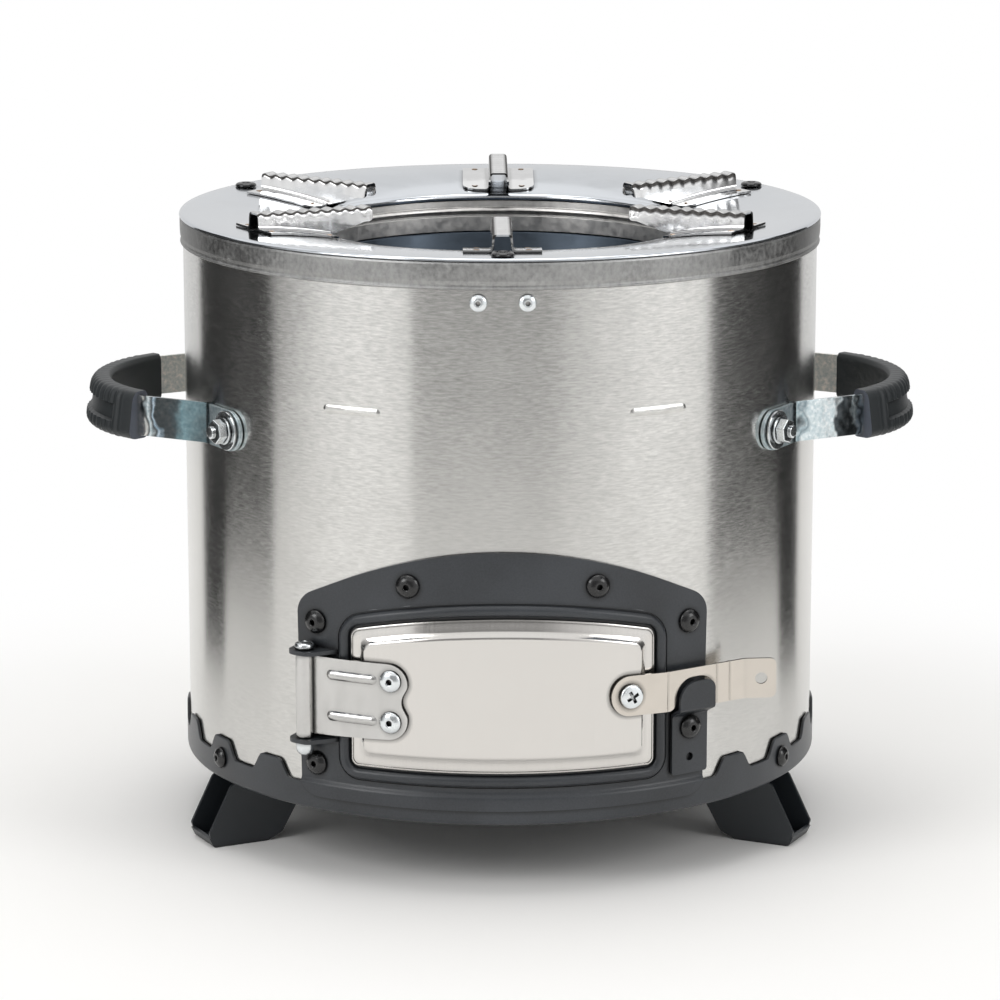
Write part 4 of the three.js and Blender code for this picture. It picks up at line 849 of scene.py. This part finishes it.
zinc_bright = metal(
    "bright_zinc_plate", "#E6EAEC", 0.2, (300, 300, 300), streak=0.1, spread=0.1, bump=0.02, crevice_shade=2.0,
)
screw_profile = [
    (0, 63.0), (2, 63.0), (2, 109.0), (4.2, 109.0), (4.4, 109.4), (4.4, 110.6), (4.1, 111.3), (3.3, 111.8),
    (1.6, 112.0), (1.3, 111.8), (1.1, 110.9), (0, 110.8),
]
finish("hinge_pin", turned(screw_profile, pin_place), zinc_bright, "stove", ["hinge_screw"])
nut_profile = [
    (0, 59.5), (1.4, 59.6), (2.8, 60.2), (3.8, 61.4), (4.2, 63.0), (4.3, 65.6), (4.0, 65.8), (2.3, 65.8),
    (2.3, 62.6), (0, 62.6),
]
finish("hinge_dome_nut", turned(nut_profile, pin_place), zinc_bright, "stove", ["hinge_nut"])


# Blind rivets: a flanged dome with the hole its mandrel left. Glossy black lacquered ones hold the frame,
# the catch and the pan, and bright zinc plated ones the hinge leaf and the plate behind the rim.
black_gloss = coating("black_lacquered_steel", "#0B0B0C", 0.26, 900, 0.01, coat=0.35)
catch_turn = 33.82
catch_rivet_out = 151.65
leaf_rivet_turn = -18.834
rim_rivet_turn = 4.155
rim_rivet_level = 268.7
pan_screw_level = 43
flange_tall = 0.3


def rivet_profile(head, height, hole, shank, grip):
    """From the tail inside to the hole in the dome."""
    tail = [(0, -grip - 1.4), (shank, -grip - 1.4), (shank * 1.5, -grip - 0.8), (shank * 1.5, -grip)]
    dome = [
        (head * 0.97, 0), (head, 0.12), (head * 0.97, 0.3), (head * 0.86, 0.52), (head * 0.68, 0.8),
        (head * 0.5, 0.95), (hole * 1.5, 1), (hole * 1.1, 0.96), (hole, 0.85),
    ]
    dome = [(x, flange_tall + height * share) for x, share in dome]
    return tail + [(shank, -grip), (shank, flange_tall)] + dome + [(hole * 0.95, -1.5), (0, -1.6)]


def set_domes(profile, material, body, radius, places):
    """One turned piece for each (node, angle from the front, height), standing for that solid."""
    for node_name, turn, height in places:
        work = turned(profile, around(turn, radius, height))
        finish(node_name + "_dome", work, material, body, [node_name], crease=60)


set_domes(rivet_profile(5.5, 2.9, 1.25, 1.9, 2.85), black_gloss, "stove", frame_radius, [
    ("frame_rivet_top_left", -16.31, 141.0), ("frame_rivet_top_right", 16.31, 141.0),
    ("frame_rivet_side_left", -33.9, 120.3), ("frame_rivet_side_right", 33.9, 120.3),
    ("frame_rivet_low_left", -33.9, 54.6),
])
set_domes(rivet_profile(5.5, 2.9, 1.25, 1.9, 4.65), black_gloss, "stove", catch_rivet_out, [
    ("catch_rivet", catch_turn, 71.5),
])
set_domes(rivet_profile(5.0, 2.1, 1.3, 1.6, 2.6), zinc_bright, "door", strap_radius, [
    ("strap_rivet_" + place_name, leaf_rivet_turn, height) for place_name, height in strap_levels.items()
])
set_domes(rivet_profile(4.0, 1.8, 1.1, 1.5, 1.6), zinc_bright, "stove", body_radius, [
    ("body_rivet_left", -rim_rivet_turn, rim_rivet_level),
    ("body_rivet_right", rim_rivet_turn, rim_rivet_level),
])
set_domes(rivet_profile(4.9, 2.6, 1.1, 1.9, 2.8), black_gloss, "stove", pan_radius, [
    ("pan_screw_" + place_name, turn, pan_screw_level)
    for place_name, turn in (("left", -60), ("right", 60), ("back", 180))
])


# Latch: a nickel plated strip on a screw, bent to follow the drum, with a notch that drops over the
# catch and a finger hole in its turned-up tip. Nickel looks warm beside the zinc.
latch_turn = 21.566
latch_out = 153.7
latch_level = 90.6
latch_sheet = 1.3
latch_folds = (18.4, 44.9, 52.0)
fold_depth = 0.35
fold_width = 0.45
tip_hole_along, tip_hole_radius = 67.4, 2.7
nickel_plate = metal(
    "warm_nickel_plate", "#D3CCC3", 0.2, (160, 160, 160), streak=0.06, spread=0.07, blotch=0.08, crevice_shade=2.5,
)
bend_line = [(-9.3, 1.3), (18.4, 1.3), (51.5, -5.7), (60.2, -7.5), (74, -3.3)]
latch_outline = rounded([
    (-9.2, -9.2, 9), (22.7, -9.2, 4), (22.7, 5.2, 9), (44.2, 5.2, 9), (44.2, -9.2, 0.8), (74, -9.2, 3),
    (74, 9.2, 3), (-9.2, 9.2, 9),
], steps=8)
tip_hole = list(reversed(arc((tip_hole_along, 0), tip_hole_radius, 0, 345, 23)))
latch_work = flat_sheet([latch_outline, tip_hole], 0)
cut_strips(latch_work, width=2)
fold_cuts = (-0.9, -0.6, -0.3, 0, 0.3, 0.6, 0.9)
cut_strips(latch_work, places=[fold + offset for fold in latch_folds for offset in fold_cuts])
cut_strips(latch_work, places=[59.8, 60.2, 60.6])


def bent_out(along):
    """How far the strip's face stands off at a distance along it, its bends eased over 0.8 mm."""
    def straight(at):
        for (x0, y0), (x1, y1) in zip(bend_line, bend_line[1:]):
            if at <= x1:
                return y0 + (y1 - y0) * (at - x0) / (x1 - x0)
        return bend_line[-1][1]
    fold = sum(fold_depth * math.exp(-((along - at) / fold_width) ** 2) for at in latch_folds)
    return (straight(along - 0.4) + straight(along) + straight(along + 0.4)) / 3 - fold


for v in latch_work.verts:
    v.co = (v.co.x, v.co.z, bent_out(v.co.x))
face_up(latch_work)
latch_place = around(latch_turn, latch_out, latch_level)
finish(
    "latch_bent_strip", move(latch_work, latch_place), nickel_plate, "latch", ["latch_strip"],
    wall=latch_sheet, edge=0.4, turn_out=False,
)


# Latch pivot: a zinc plated pan head screw with a cross recess, and its nut behind the door.
# The nut keeps the frame's own solid.
def plate_solid(node_name, material):
    """Gives a solid of the frame, which is kept as it is, its real finish."""
    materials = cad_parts[node_name].data.materials
    materials.clear()
    materials.append(material)


head_base = 1.6
dome_reach = 4.8
dome_rise = 0.6
cross_half = 0.75
cross_reach = 3.2
cross_depth = 1.3
cross_lean = 0.55
head_line = [
    (0, -6.0), (2, -6.0), (2, head_base), (5.4, head_base), (5.5, head_base + 0.3), (5.5, head_base + 1.2),
    (5.2, head_base + 1.7),
]
for run in [dome_reach - 0.3 * at for at in range(16)]:
    head_line.append((run, head_base + 1.95 + dome_rise * (1 - (run / dome_reach) ** 2)))
head_line.append((0, head_base + 2.55))
latch_screw = turned(head_line, Matrix.Identity(4), steps=96)
for v in latch_screw.verts:
    near, far = sorted((abs(v.co.x + cross_lean * v.co.y), abs(v.co.y - cross_lean * v.co.x)))
    if v.co.z > head_base + 1.9 and near < cross_half and far < cross_reach:
        v.co.z -= cross_depth
move(latch_screw, latch_place)
finish("latch_cross_screw", latch_screw, zinc_bright, "door", ["latch_screw"], crease=35)
plate_solid("latch_nut", zinc_bright)


# Catch: a plate riveted over the frame, bent out and up into the tab the latch drops over.
# It is powder coated like the frame, so its edges show a soft dark sheen.
catch_out = 150.15
catch_half = 9.75
catch_sheet = 1.5
tab_start = 76.8
tab_bend = 4.6
tab_out = 6.1
catch_outline = rounded([
    (-catch_half, 49.9, 1.5), (catch_half, 49.9, 1.5), (catch_half, 94, 4.5), (-catch_half, 94, 9),
], steps=8)
catch_work = flat_sheet([catch_outline, list(reversed(arc((0, 57.5), 1.9, 0, 340, 17)))], 0)
cut_strips(catch_work, axis=2, places=[76.6, 77.2, 77.8, 78.4, 79.0, 79.6, 80.2, 80.8, 81.4, 82.0])
for v in catch_work.verts:
    v.co = (v.co.x, v.co.z, catch_sheet + tab_out * eased((v.co.z - tab_start) / tab_bend))
face_up(catch_work)
move(catch_work, around(catch_turn, catch_out, 0))
finish(
    "catch_plate", catch_work, powder_coat, "stove", ["catch_bracket"],
    wall=catch_sheet, edge=0.4, turn_out=False,
)


# Feet: three folded channels of black sheet that open outward, with a turned-up toe, screwed under
# the pan. The coat is satin and shows light on the folded edges.
black_sheet_coat = coating("satin_black_coat", "#25292D", 0.36, 1200, 0.02, tone=0.15)
foot_half = 11.5
foot_sheet = 1.5
fold_inset = 0.2
side_line = rounded([
    (139, 31.7), (145.2, 28.6, 3), (156.3, 7, 1.2), (154, 0, 1.5), (127, 0, 2), (119.6, 3.6, 3), (103, 31.7),
], steps=5)
back_line = rounded([
    (156.2, 4.4), (154, 0.05, 1.2), (127, 0.05, 3), (119.6, 3.7, 4), (103.2, 31.65, 1.5), (143, 31.65),
], closed=False, steps=5)


def foot_work():
    """One foot, its sole on the ground and its length along +X."""
    cheeks = []
    for face in (-foot_half, foot_half - foot_sheet):
        cheek = flat_sheet([side_line], -face)
        bmesh.ops.translate(cheek, verts=extruded(cheek), vec=(0, foot_sheet, 0))
        bmesh.ops.recalc_face_normals(cheek, faces=cheek.faces)
        cheeks.append(cheek)
    fold = bmesh.new()
    chain(fold, [(x, -foot_half + fold_inset, z) for x, z in back_line])
    bmesh.ops.translate(fold, verts=extruded(fold), vec=(0, 2 * (foot_half - fold_inset), 0))
    bmesh.ops.recalc_face_normals(fold, faces=fold.faces)
    if min(fold.faces, key=lambda f: f.calc_center_median().z).normal.z > 0:
        bmesh.ops.reverse_faces(fold, faces=fold.faces)
    bmesh.ops.solidify(fold, geom=fold.faces[:], thickness=foot_sheet)
    return join_work(*cheeks, fold)


for place_name, turn in (("left", -64), ("right", 64), ("back", 180)):
    work = move(foot_work(), Matrix.Rotation(math.radians(turn - 90), 4, "Z"))
    node_name = "foot_" + place_name
    finish(
        node_name + "_folded", work, black_sheet_coat, "stove", [node_name], edge=0.25,
        merge=0.0005, turn_out=False,
    )
    plate_solid("foot_screw_" + place_name, zinc_bright)


# Pot supports: six hat sections of bright sheet spot welded on the dish, their tops pressed into cross
# teeth so that a pot doesn't slide, and open at both ends. The welds have left small brown marks.
support_inner = 70.7
support_outer = 129.5
support_top = 296.3
support_tilt = 1.2
support_half = 4.95
shoulder_round = 1.7
nose_bottom = 288.3
nose_round = 2
nose_end = 74.7
slope_end = 93.7
foot_gap = 0.35
tooth_pitch = 6.2
tooth_height = 0.85
flange_half = 17.4
flange_start = 92.4
flange_corner = 6.4
flange_top = 1.25
fillet = 1.5


def ridge(run):
    """Height of the teeth's crests at a distance from the axis."""
    return support_top - support_tilt * (support_outer - run) / (support_outer - support_inner)


def wall_foot(run):
    """Height of the wall's lower edge: level at the nose, then sloping down to the dish."""
    if run > slope_end:
        return dish_height(run) + foot_gap
    if run > nose_end:
        share = (run - nose_end) / (slope_end - nose_end)
        return nose_bottom + (dish_height(slope_end) + foot_gap - nose_bottom) * share
    beyond = max(0, nose_end - nose_round - run)
    return nose_bottom + nose_round - math.sqrt(max(0, nose_round ** 2 - beyond ** 2))


def support_work():
    """One support with its length along +X, from the fire outwards. Crest marks where shade is painted."""
    channel = bmesh.new()
    shoulder_shade_mark = channel.verts.layers.float.new("crest")
    bmesh.ops.create_grid(channel, x_segments=190, y_segments=28, size=0.5)
    for v in channel.verts:
        run = support_inner + (support_outer - support_inner) * (v.co.x + 0.5)
        facing = 1 if v.co.y > 0 else -1
        inward = 1 - 2 * abs(v.co.y)
        phase = (run - support_inner - 1.5) / tooth_pitch
        gap = 0.5 - 0.5 * math.cos(2 * math.pi * phase)
        crest = ridge(run)
        narrow = support_half - 0.5
        if inward < 0.5:
            foot = wall_foot(run)
            rise = inward / 0.5
            across = support_half - 0.5 * rise
            height = foot + (crest - shoulder_round - tooth_height * gap * rise - foot) * rise
        elif inward < 0.75:
            turn = math.radians(90 * (inward - 0.5) / 0.25)
            across = narrow - shoulder_round + (shoulder_round - 0.15 * gap) * math.cos(turn)
            height = crest - tooth_height * gap - shoulder_round + shoulder_round * math.sin(turn)
            # The crest value marks painted shade: full on most of the shoulder, less near the top.
            v[shoulder_shade_mark] = 1 if inward < 0.68 else 0.4
        else:
            across = (narrow - shoulder_round) * (1 - inward) / 0.25
            height = crest - tooth_height * gap
            v[shoulder_shade_mark] = 0.15
        v.co = (run, facing * across, height)
    for facing in (-1, 1):
        flange = bmesh.new()
        bmesh.ops.create_grid(flange, x_segments=40, y_segments=12, size=0.5)
        for v in flange.verts:
            run = flange_start + (support_outer - flange_start) * (v.co.x + 0.5)
            share = v.co.y + 0.5
            corner = max(0, flange_start + flange_corner - run)
            reach = flange_half - flange_corner + math.sqrt(max(0, flange_corner ** 2 - corner ** 2))
            near = support_half - 0.2
            across = near + fillet * min(1, share / 0.5)
            across += (reach - near - fillet) * max(0, 2 * share - 1)
            sunk = max(0, fillet - (across - near))
            height = dish_height(math.hypot(run, across)) + flange_top + fillet
            height -= math.sqrt(max(0, fillet ** 2 - sunk ** 2))
            v.co = (run, facing * across, height)
        if facing < 0:
            bmesh.ops.reverse_faces(flange, faces=flange.faces)
        channel = join_work(channel, flange)
    return channel


support_sheet = metal(
    "bright_pressed_sheet", "#E4E4E4", 0.1, (90, 90, 90), streak=0.04, spread=0.05, blotch=0.1, wave=0.4,
    crevice_shade=1.5,
)
# Painted shade over the crests: darkest on most of each shoulder and lighter on the top, as the crest
# attribute marks. The same places are also duller.
tree = support_sheet.node_tree
bright_shader = next(n for n in tree.nodes if n.type == "BSDF_PRINCIPLED")
shoulder_shade_share = add_node(tree, "Attribute", attribute_name="crest")
shade_flecks = add_node(tree, "TexNoise", {"Scale": 900.0, "Detail": 2.0})
painted_shoulder_shade = add_node(tree, "ValToRGB", links={"Fac": (shade_flecks, "Fac")})
set_ramp(painted_shoulder_shade, [(0.35, linear("#2E2C2B")), (0.65, linear("#5A5856"))])
dull = add_node(
    tree, "BsdfPrincipled", {"Metallic": 1.0, "Roughness": 0.45}, {"Base Color": (painted_shoulder_shade, "Color")},
)
crest_mix = add_node(
    tree, "MixShader", links={0: (shoulder_shade_share, "Fac"), 1: (bright_shader, "BSDF"), 2: (dull, "BSDF")},
)
surface = next(n for n in tree.nodes if n.type == "OUTPUT_MATERIAL").inputs["Surface"]
tree.links.new(crest_mix.outputs["Shader"], surface)
weld_mark = metal("browned_weld_mark", "#7A6148", 0.4, (700, 700, 700), streak=0.3, spread=0.1)
weld_profile = [(1.5, 0.0), (1.3, 0.14), (0.9, 0.08), (0.4, 0.02), (0, 0.02)]
for at in range(6):
    turn = Matrix.Rotation(math.radians(at * 60 - 90), 4, "Z")
    work = move(support_work(), turn)
    node_name = "pot_support_%d" % (at + 1)
    finish(
        node_name + "_pressed", work, support_sheet, "stove", [node_name], merge=0.0005,
        turn_out=False, crease=50, wall=0.95, even=False,
    )
    marks = []
    for run in (97, 126.5):
        for across in (-11.5, 11.5):
            level = dish_height(math.hypot(run, across)) + flange_top
            marks.append(turned(weld_profile, turn @ Matrix.Translation((run, across, level)), steps=16))
    marks = join_work(*marks)
    finish("support_welds_%d" % (at + 1), marks, weld_mark, "stove", turn_out=False)


# Top plate bolts: black lacquered steel, screwed down through the plate near the rim to hold it.
# Their glossy domes have a dimple in the middle.
bolt_run = 141.4
bolt_profile = [
    (0, -9), (2.4, -9), (2.4, 0), (4.9, 0), (5.1, 0.25), (5.0, 0.8), (4.6, 1.3), (3.9, 1.65), (2.9, 1.8),
    (2.2, 1.7), (1.9, 1.2), (1.7, 0.9), (0, 0.85),
]
for place_name, turn in (("front", 0), ("right", 120), ("left", 240)):
    at = around(turn, bolt_run, dish_height(bolt_run) + 0.3).translation
    work = turned(bolt_profile, Matrix.Translation(at))
    node_name = "plate_bolt_" + place_name
    finish(node_name + "_dome", work, black_gloss, "stove", [node_name], crease=60)


# Handle strips: zinc plated flat bar bent into a loop and bolted flat on the drum at both ends.
# The plating is bright and slightly wavy. The sharp light and dark bands along the front arms are
# painted reflections in its colour, and the rest of the strip is painted a lighter warm white.
handle_level = 199.5
strip_half = 9.3
strip_sheet = 2.0
arc_centre = 122.8
arc_radius = 66.7
grip_half = 49.5
strip_gap = 0.3
wall_line = body_radius + strip_gap + strip_sheet / 2
pad_end = 67.5
bend_round = 5
sway = 0.009


def wavy_plate(name, painted_band_stops):
    """Bright zinc plate, softly wavy, with small crystals; (share, colour) stops paint reflections on its
    front arm.
    """
    made, tree = new_material(name)
    at = add_node(tree, "TexCoord")
    waves = add_node(
        tree, "TexNoise", {"Scale": 85.0, "Detail": 2.0, "Roughness": 0.5}, {"Vector": (at, "Object")},
    )
    grains = add_node(tree, "TexNoise", {"Scale": 600.0, "Detail": 3.0}, {"Vector": (at, "Object")})
    plate_tone = add_node(tree, "ValToRGB", links={"Fac": (grains, "Fac")})
    set_ramp(plate_tone, [(0.3, linear("#C4D2D6")), (0.55, linear("#E0E8EA")), (0.7, linear("#F8FBFB"))])
    parts = add_node(tree, "SeparateXYZ", links={0: (at, "Object")})
    swayed = add_node(
        tree, "Math", {1: sway}, {0: (waves, "Fac"), 2: (parts, "Y")}, operation="MULTIPLY_ADD",
    )
    # Painted reflections: the stops lay light and dark bands along the front arm, and warm white beyond it.
    arm = add_node(
        tree, "MapRange", {"From Min": -0.065, "From Max": -0.045}, {"Value": (swayed, "Value")},
    )
    painted_arm_bands = add_node(tree, "ValToRGB", links={"Fac": (arm, "Result")})
    set_ramp(painted_arm_bands, [(share, linear(hex_colour)) for share, hex_colour in painted_band_stops])
    shade = add_node(
        tree, "Mix", {"Factor": 0.9}, {"A": (plate_tone, "Color"), "B": (painted_arm_bands, "Color")},
        data_type="RGBA", blend_type="MULTIPLY",
    )
    gloss = add_node(tree, "MapRange", {"To Min": 0.06, "To Max": 0.22}, {"Value": (grains, "Fac")})
    # The pads rub on the drum and the rear arm is touched less, so both are duller than the front arm.
    span = add_node(tree, "MapRange", {"From Min": -0.1, "From Max": 0.1}, {"Value": (parts, "Y")})
    wear = add_node(tree, "ValToRGB", links={"Fac": (span, "Result")})
    set_ramp(wear, [(0.0, 0.3), (0.14, 0.3), (0.17, 0.0), (0.5, 0.0), (0.55, 0.4)])
    dulled = add_node(tree, "Math", links={0: (gloss, "Result"), 1: (wear, "Color")}, operation="ADD")
    relief = add_node(tree, "Bump", {"Strength": 1.0, "Distance": 0.5 * mm}, {"Height": (waves, "Fac")})
    shader = add_node(
        tree, "BsdfPrincipled", {"Metallic": 1.0},
        {"Base Color": (shade, "Result"), "Roughness": (dulled, "Value"), "Normal": (relief, "Normal")},
    )
    add_node(tree, "OutputMaterial", links={"Surface": (shader, "BSDF")})
    return made


# The stops are painted reflection bands, placed along each front arm.
zinc_with_painted_bands = {
    "left": wavy_plate("wavy_zinc_painted_bands_left", [
        (0.0, "#E8EEF0"), (0.06, "#6F8187"), (0.1, "#2E3C41"), (0.2, "#4F666C"), (0.4, "#7B9AA1"),
        (0.5, "#22343A"), (0.58, "#0A1418"), (0.73, "#0A1418"), (0.77, "#C8D6E4"), (0.81, "#0B1013"),
        (0.88, "#F2F7F9"), (0.93, "#0B1013"), (0.98, "#FFF4EC"),
    ]),
    "right": wavy_plate("wavy_zinc_painted_bands_right", [
        (0.0, "#E8EEF0"), (0.05, "#59666B"), (0.1, "#20282D"), (0.16, "#C9D3D6"), (0.2, "#98A3A8"),
        (0.26, "#F4F8F9"), (0.62, "#FFFFFF"), (0.66, "#1A2129"), (0.84, "#0A0E14"), (0.87, "#F2F7F9"),
        (0.91, "#2A3036"), (0.95, "#EDF2F4"), (1.0, "#FFF4EC"),
    ]),
}
grip_turn = math.degrees(math.asin(grip_half / arc_radius))
pad_line = arc((0, 0), wall_line, 38.26, 34, 22) + arc((0, 0), wall_line, 32, 27.05, 2)
loop_line = pad_line + arc((arc_centre, 0), arc_radius, grip_turn, -grip_turn, 28)
loop_line += [(x, -y) for x, y in reversed(pad_line)]
bends = (len(pad_line) - 1, len(loop_line) - len(pad_line))
loop_line = rounded([
    (x, y, bend_round if at in bends else 0) for at, (x, y) in enumerate(loop_line)
], closed=False, steps=5)
steps_along = [math.dist(a, b) for a, b in zip(loop_line, loop_line[1:])]
strip_length = sum(steps_along)
halves = []
for at in range(len(loop_line)):
    reached = sum(steps_along[:at])
    short = max(0, strip_half - min(reached, strip_length - reached))
    halves.append(math.sqrt(max(0.04, strip_half ** 2 - short ** 2)))
for side, facing in (("right", 1), ("left", -1)):
    strip = bmesh.new()
    points = [(facing * x, y, handle_level - half) for (x, y), half in zip(loop_line, halves)]
    line = chain(strip, points)[0]
    tall = {tuple(v.co.xy): 2 * half for v, half in zip(line, halves)}
    for v in extruded(strip):
        v.co.z += tall[tuple(v.co.xy)]
    bmesh.ops.recalc_face_normals(strip, faces=strip.faces)
    outer = max(strip.faces, key=lambda f: abs(f.calc_center_median().x))
    if outer.normal.x * facing < 0:
        bmesh.ops.reverse_faces(strip, faces=strip.faces)
    for v in strip.verts:
        if abs(v.co.y) > pad_end:
            out = v.co.xy.normalized() * (strip_sheet / 2)
            v.co.x, v.co.y = v.co.x + out.x, v.co.y + out.y
    name = "handle_strip_" + side
    finish(
        name + "_bent", strip, zinc_with_painted_bands[side], "stove", [name], wall=strip_sheet * 0.9,
        edge=0.3, turn_out=False,
    )


# Grips: black rubberised plastic moulded round the strip, ribbed across, with a plain window on the
# outer face, which leans out towards the bottom. It is matt, and its end faces are worn paler.
grip_plastic = coating("moulded_soft_plastic", "#262A2C", 0.46, 900, 0.02)
end_plastic = coating("worn_plastic_end", "#5C616C", 0.5, 900, 0.02)
grip_thick = 6.5
grip_tall = 11.2
grip_lean = 3.4
rib_pitch = 5.0
rib_height = 0.55
plain_end = 6
window_half = 3.6
window_inset = 13
window_depth = 1.2
grip_section = rounded([
    (-grip_thick, -grip_tall, 3.0), (grip_thick, -grip_tall, 4.6), (grip_thick, -window_half - 0.6),
    (grip_thick, -window_half), (grip_thick, window_half), (grip_thick, window_half + 0.6),
    (grip_thick, grip_tall, 4.6), (-grip_thick, grip_tall, 3.0),
])
for side, facing in (("right", 1), ("left", -1)):
    grip = bmesh.new()
    ring, edges = chain(grip, [(arc_radius + x, 0, z) for x, z in grip_section], closed=True)
    move(grip, Matrix.Rotation(math.radians(-grip_turn), 4, "Z"))
    spin_round(grip, ring + edges, 2 * grip_turn, 270)
    grip_end = math.radians(grip_turn) * arc_radius
    for v in grip.verts:
        away = Vector((v.co.x, v.co.y, 0))
        out = away.length - arc_radius
        along = math.atan2(v.co.y, v.co.x) * arc_radius
        from_end = grip_end - abs(along)
        ribbed = min(1, max(0, (from_end - plain_end) / 2))
        wave = 0.5 - 0.5 * math.cos(2 * math.pi * along / rib_pitch)
        swell = rib_height * wave * ribbed + 0.5 * (1 - ribbed)
        if out > grip_thick - 1.5 and abs(v.co.z) <= window_half + 0.1 and from_end > window_inset:
            swell = 0.75 + window_depth * min(1, (from_end - window_inset) / 0.8)
        if out > -grip_thick + 1:
            share = (out + grip_thick) / (2 * grip_thick)
            lean = grip_lean * (v.co.z + grip_tall) / (2 * grip_tall)
            away = away.normalized() * (arc_radius + out - (swell * share + lean) * share)
            v.co.x, v.co.y = away.x, away.y
            v.co.z *= 1 - swell * share / grip_tall * 0.5
    bmesh.ops.holes_fill(grip, edges=[e for e in grip.edges if e.is_boundary], sides=0)
    bmesh.ops.recalc_face_normals(grip, faces=grip.faces)
    if facing < 0:
        bmesh.ops.scale(grip, vec=(-1, 1, 1), verts=grip.verts)
        bmesh.ops.reverse_faces(grip, faces=grip.faces)
    bmesh.ops.translate(grip, verts=grip.verts, vec=(facing * arc_centre, 0, handle_level))
    name = "handle_grip_" + side
    moulded = finish(
        name + "_moulded", grip, grip_plastic, "stove", [name], turn_out=False, crease=38,
    )
    moulded.data.materials.append(end_plastic)
    for face in moulded.data.polygons:
        if len(face.vertices) > 8:
            face.material_index = 1


# Handle bolts: zinc plated bolts from inside the drum, each closed by a hexagon nut over a split washer
# and a wide flat washer. The thread's end stands out of the nut.
flat_washer = [(3, 0.32), (8.8, 0.32), (9.0, 0.5), (9.0, 1.2), (8.8, 1.4), (3, 1.4), (3, 0.32)]
split_washer = [(3, 1.45), (5.9, 1.45), (6.2, 1.7), (6.2, 2.4), (5.9, 2.65), (3, 2.65), (3, 1.45)]
thread_line = [(0, -7), (2.8, -7), (2.8, 7.4)]
for turn_count in range(3):
    thread_line += [(2.9, 7.55 + 0.7 * turn_count), (2.55, 7.9 + 0.7 * turn_count)]
thread_line += [(2.6, 9.3), (2.1, 9.45), (0, 9.45)]
bolt_base = body_radius + strip_gap + strip_sheet
bolt_turn = 34.28
nut_radius = 5.77
nut_tall = 4.3
nut_place = Matrix.Translation((0, 0, 4.85)) @ Matrix.Rotation(math.radians(12), 4, "Z")
for place_name, turn in (
    ("right_front", 90 - bolt_turn), ("right_rear", 90 + bolt_turn),
    ("left_front", -90 + bolt_turn), ("left_rear", -90 - bolt_turn),
):
    place = around(turn, bolt_base, handle_level)
    washers = join_work(turned(flat_washer, place), turned(split_washer, place))
    node_name = "handle_washer_" + place_name
    finish(node_name + "_pair", washers, zinc_bright, "stove", [node_name])
    nut = bmesh.new()
    bmesh.ops.create_cone(
        nut, cap_ends=True, segments=6, radius1=nut_radius, radius2=nut_radius, depth=nut_tall,
        matrix=place @ nut_place,
    )
    node_name = "handle_bolt_" + place_name
    finish(node_name + "_nut", nut, zinc_bright, "stove", edge=0.5)
    finish(node_name + "_thread", turned(thread_line, place), zinc_bright, "stove", [node_name])
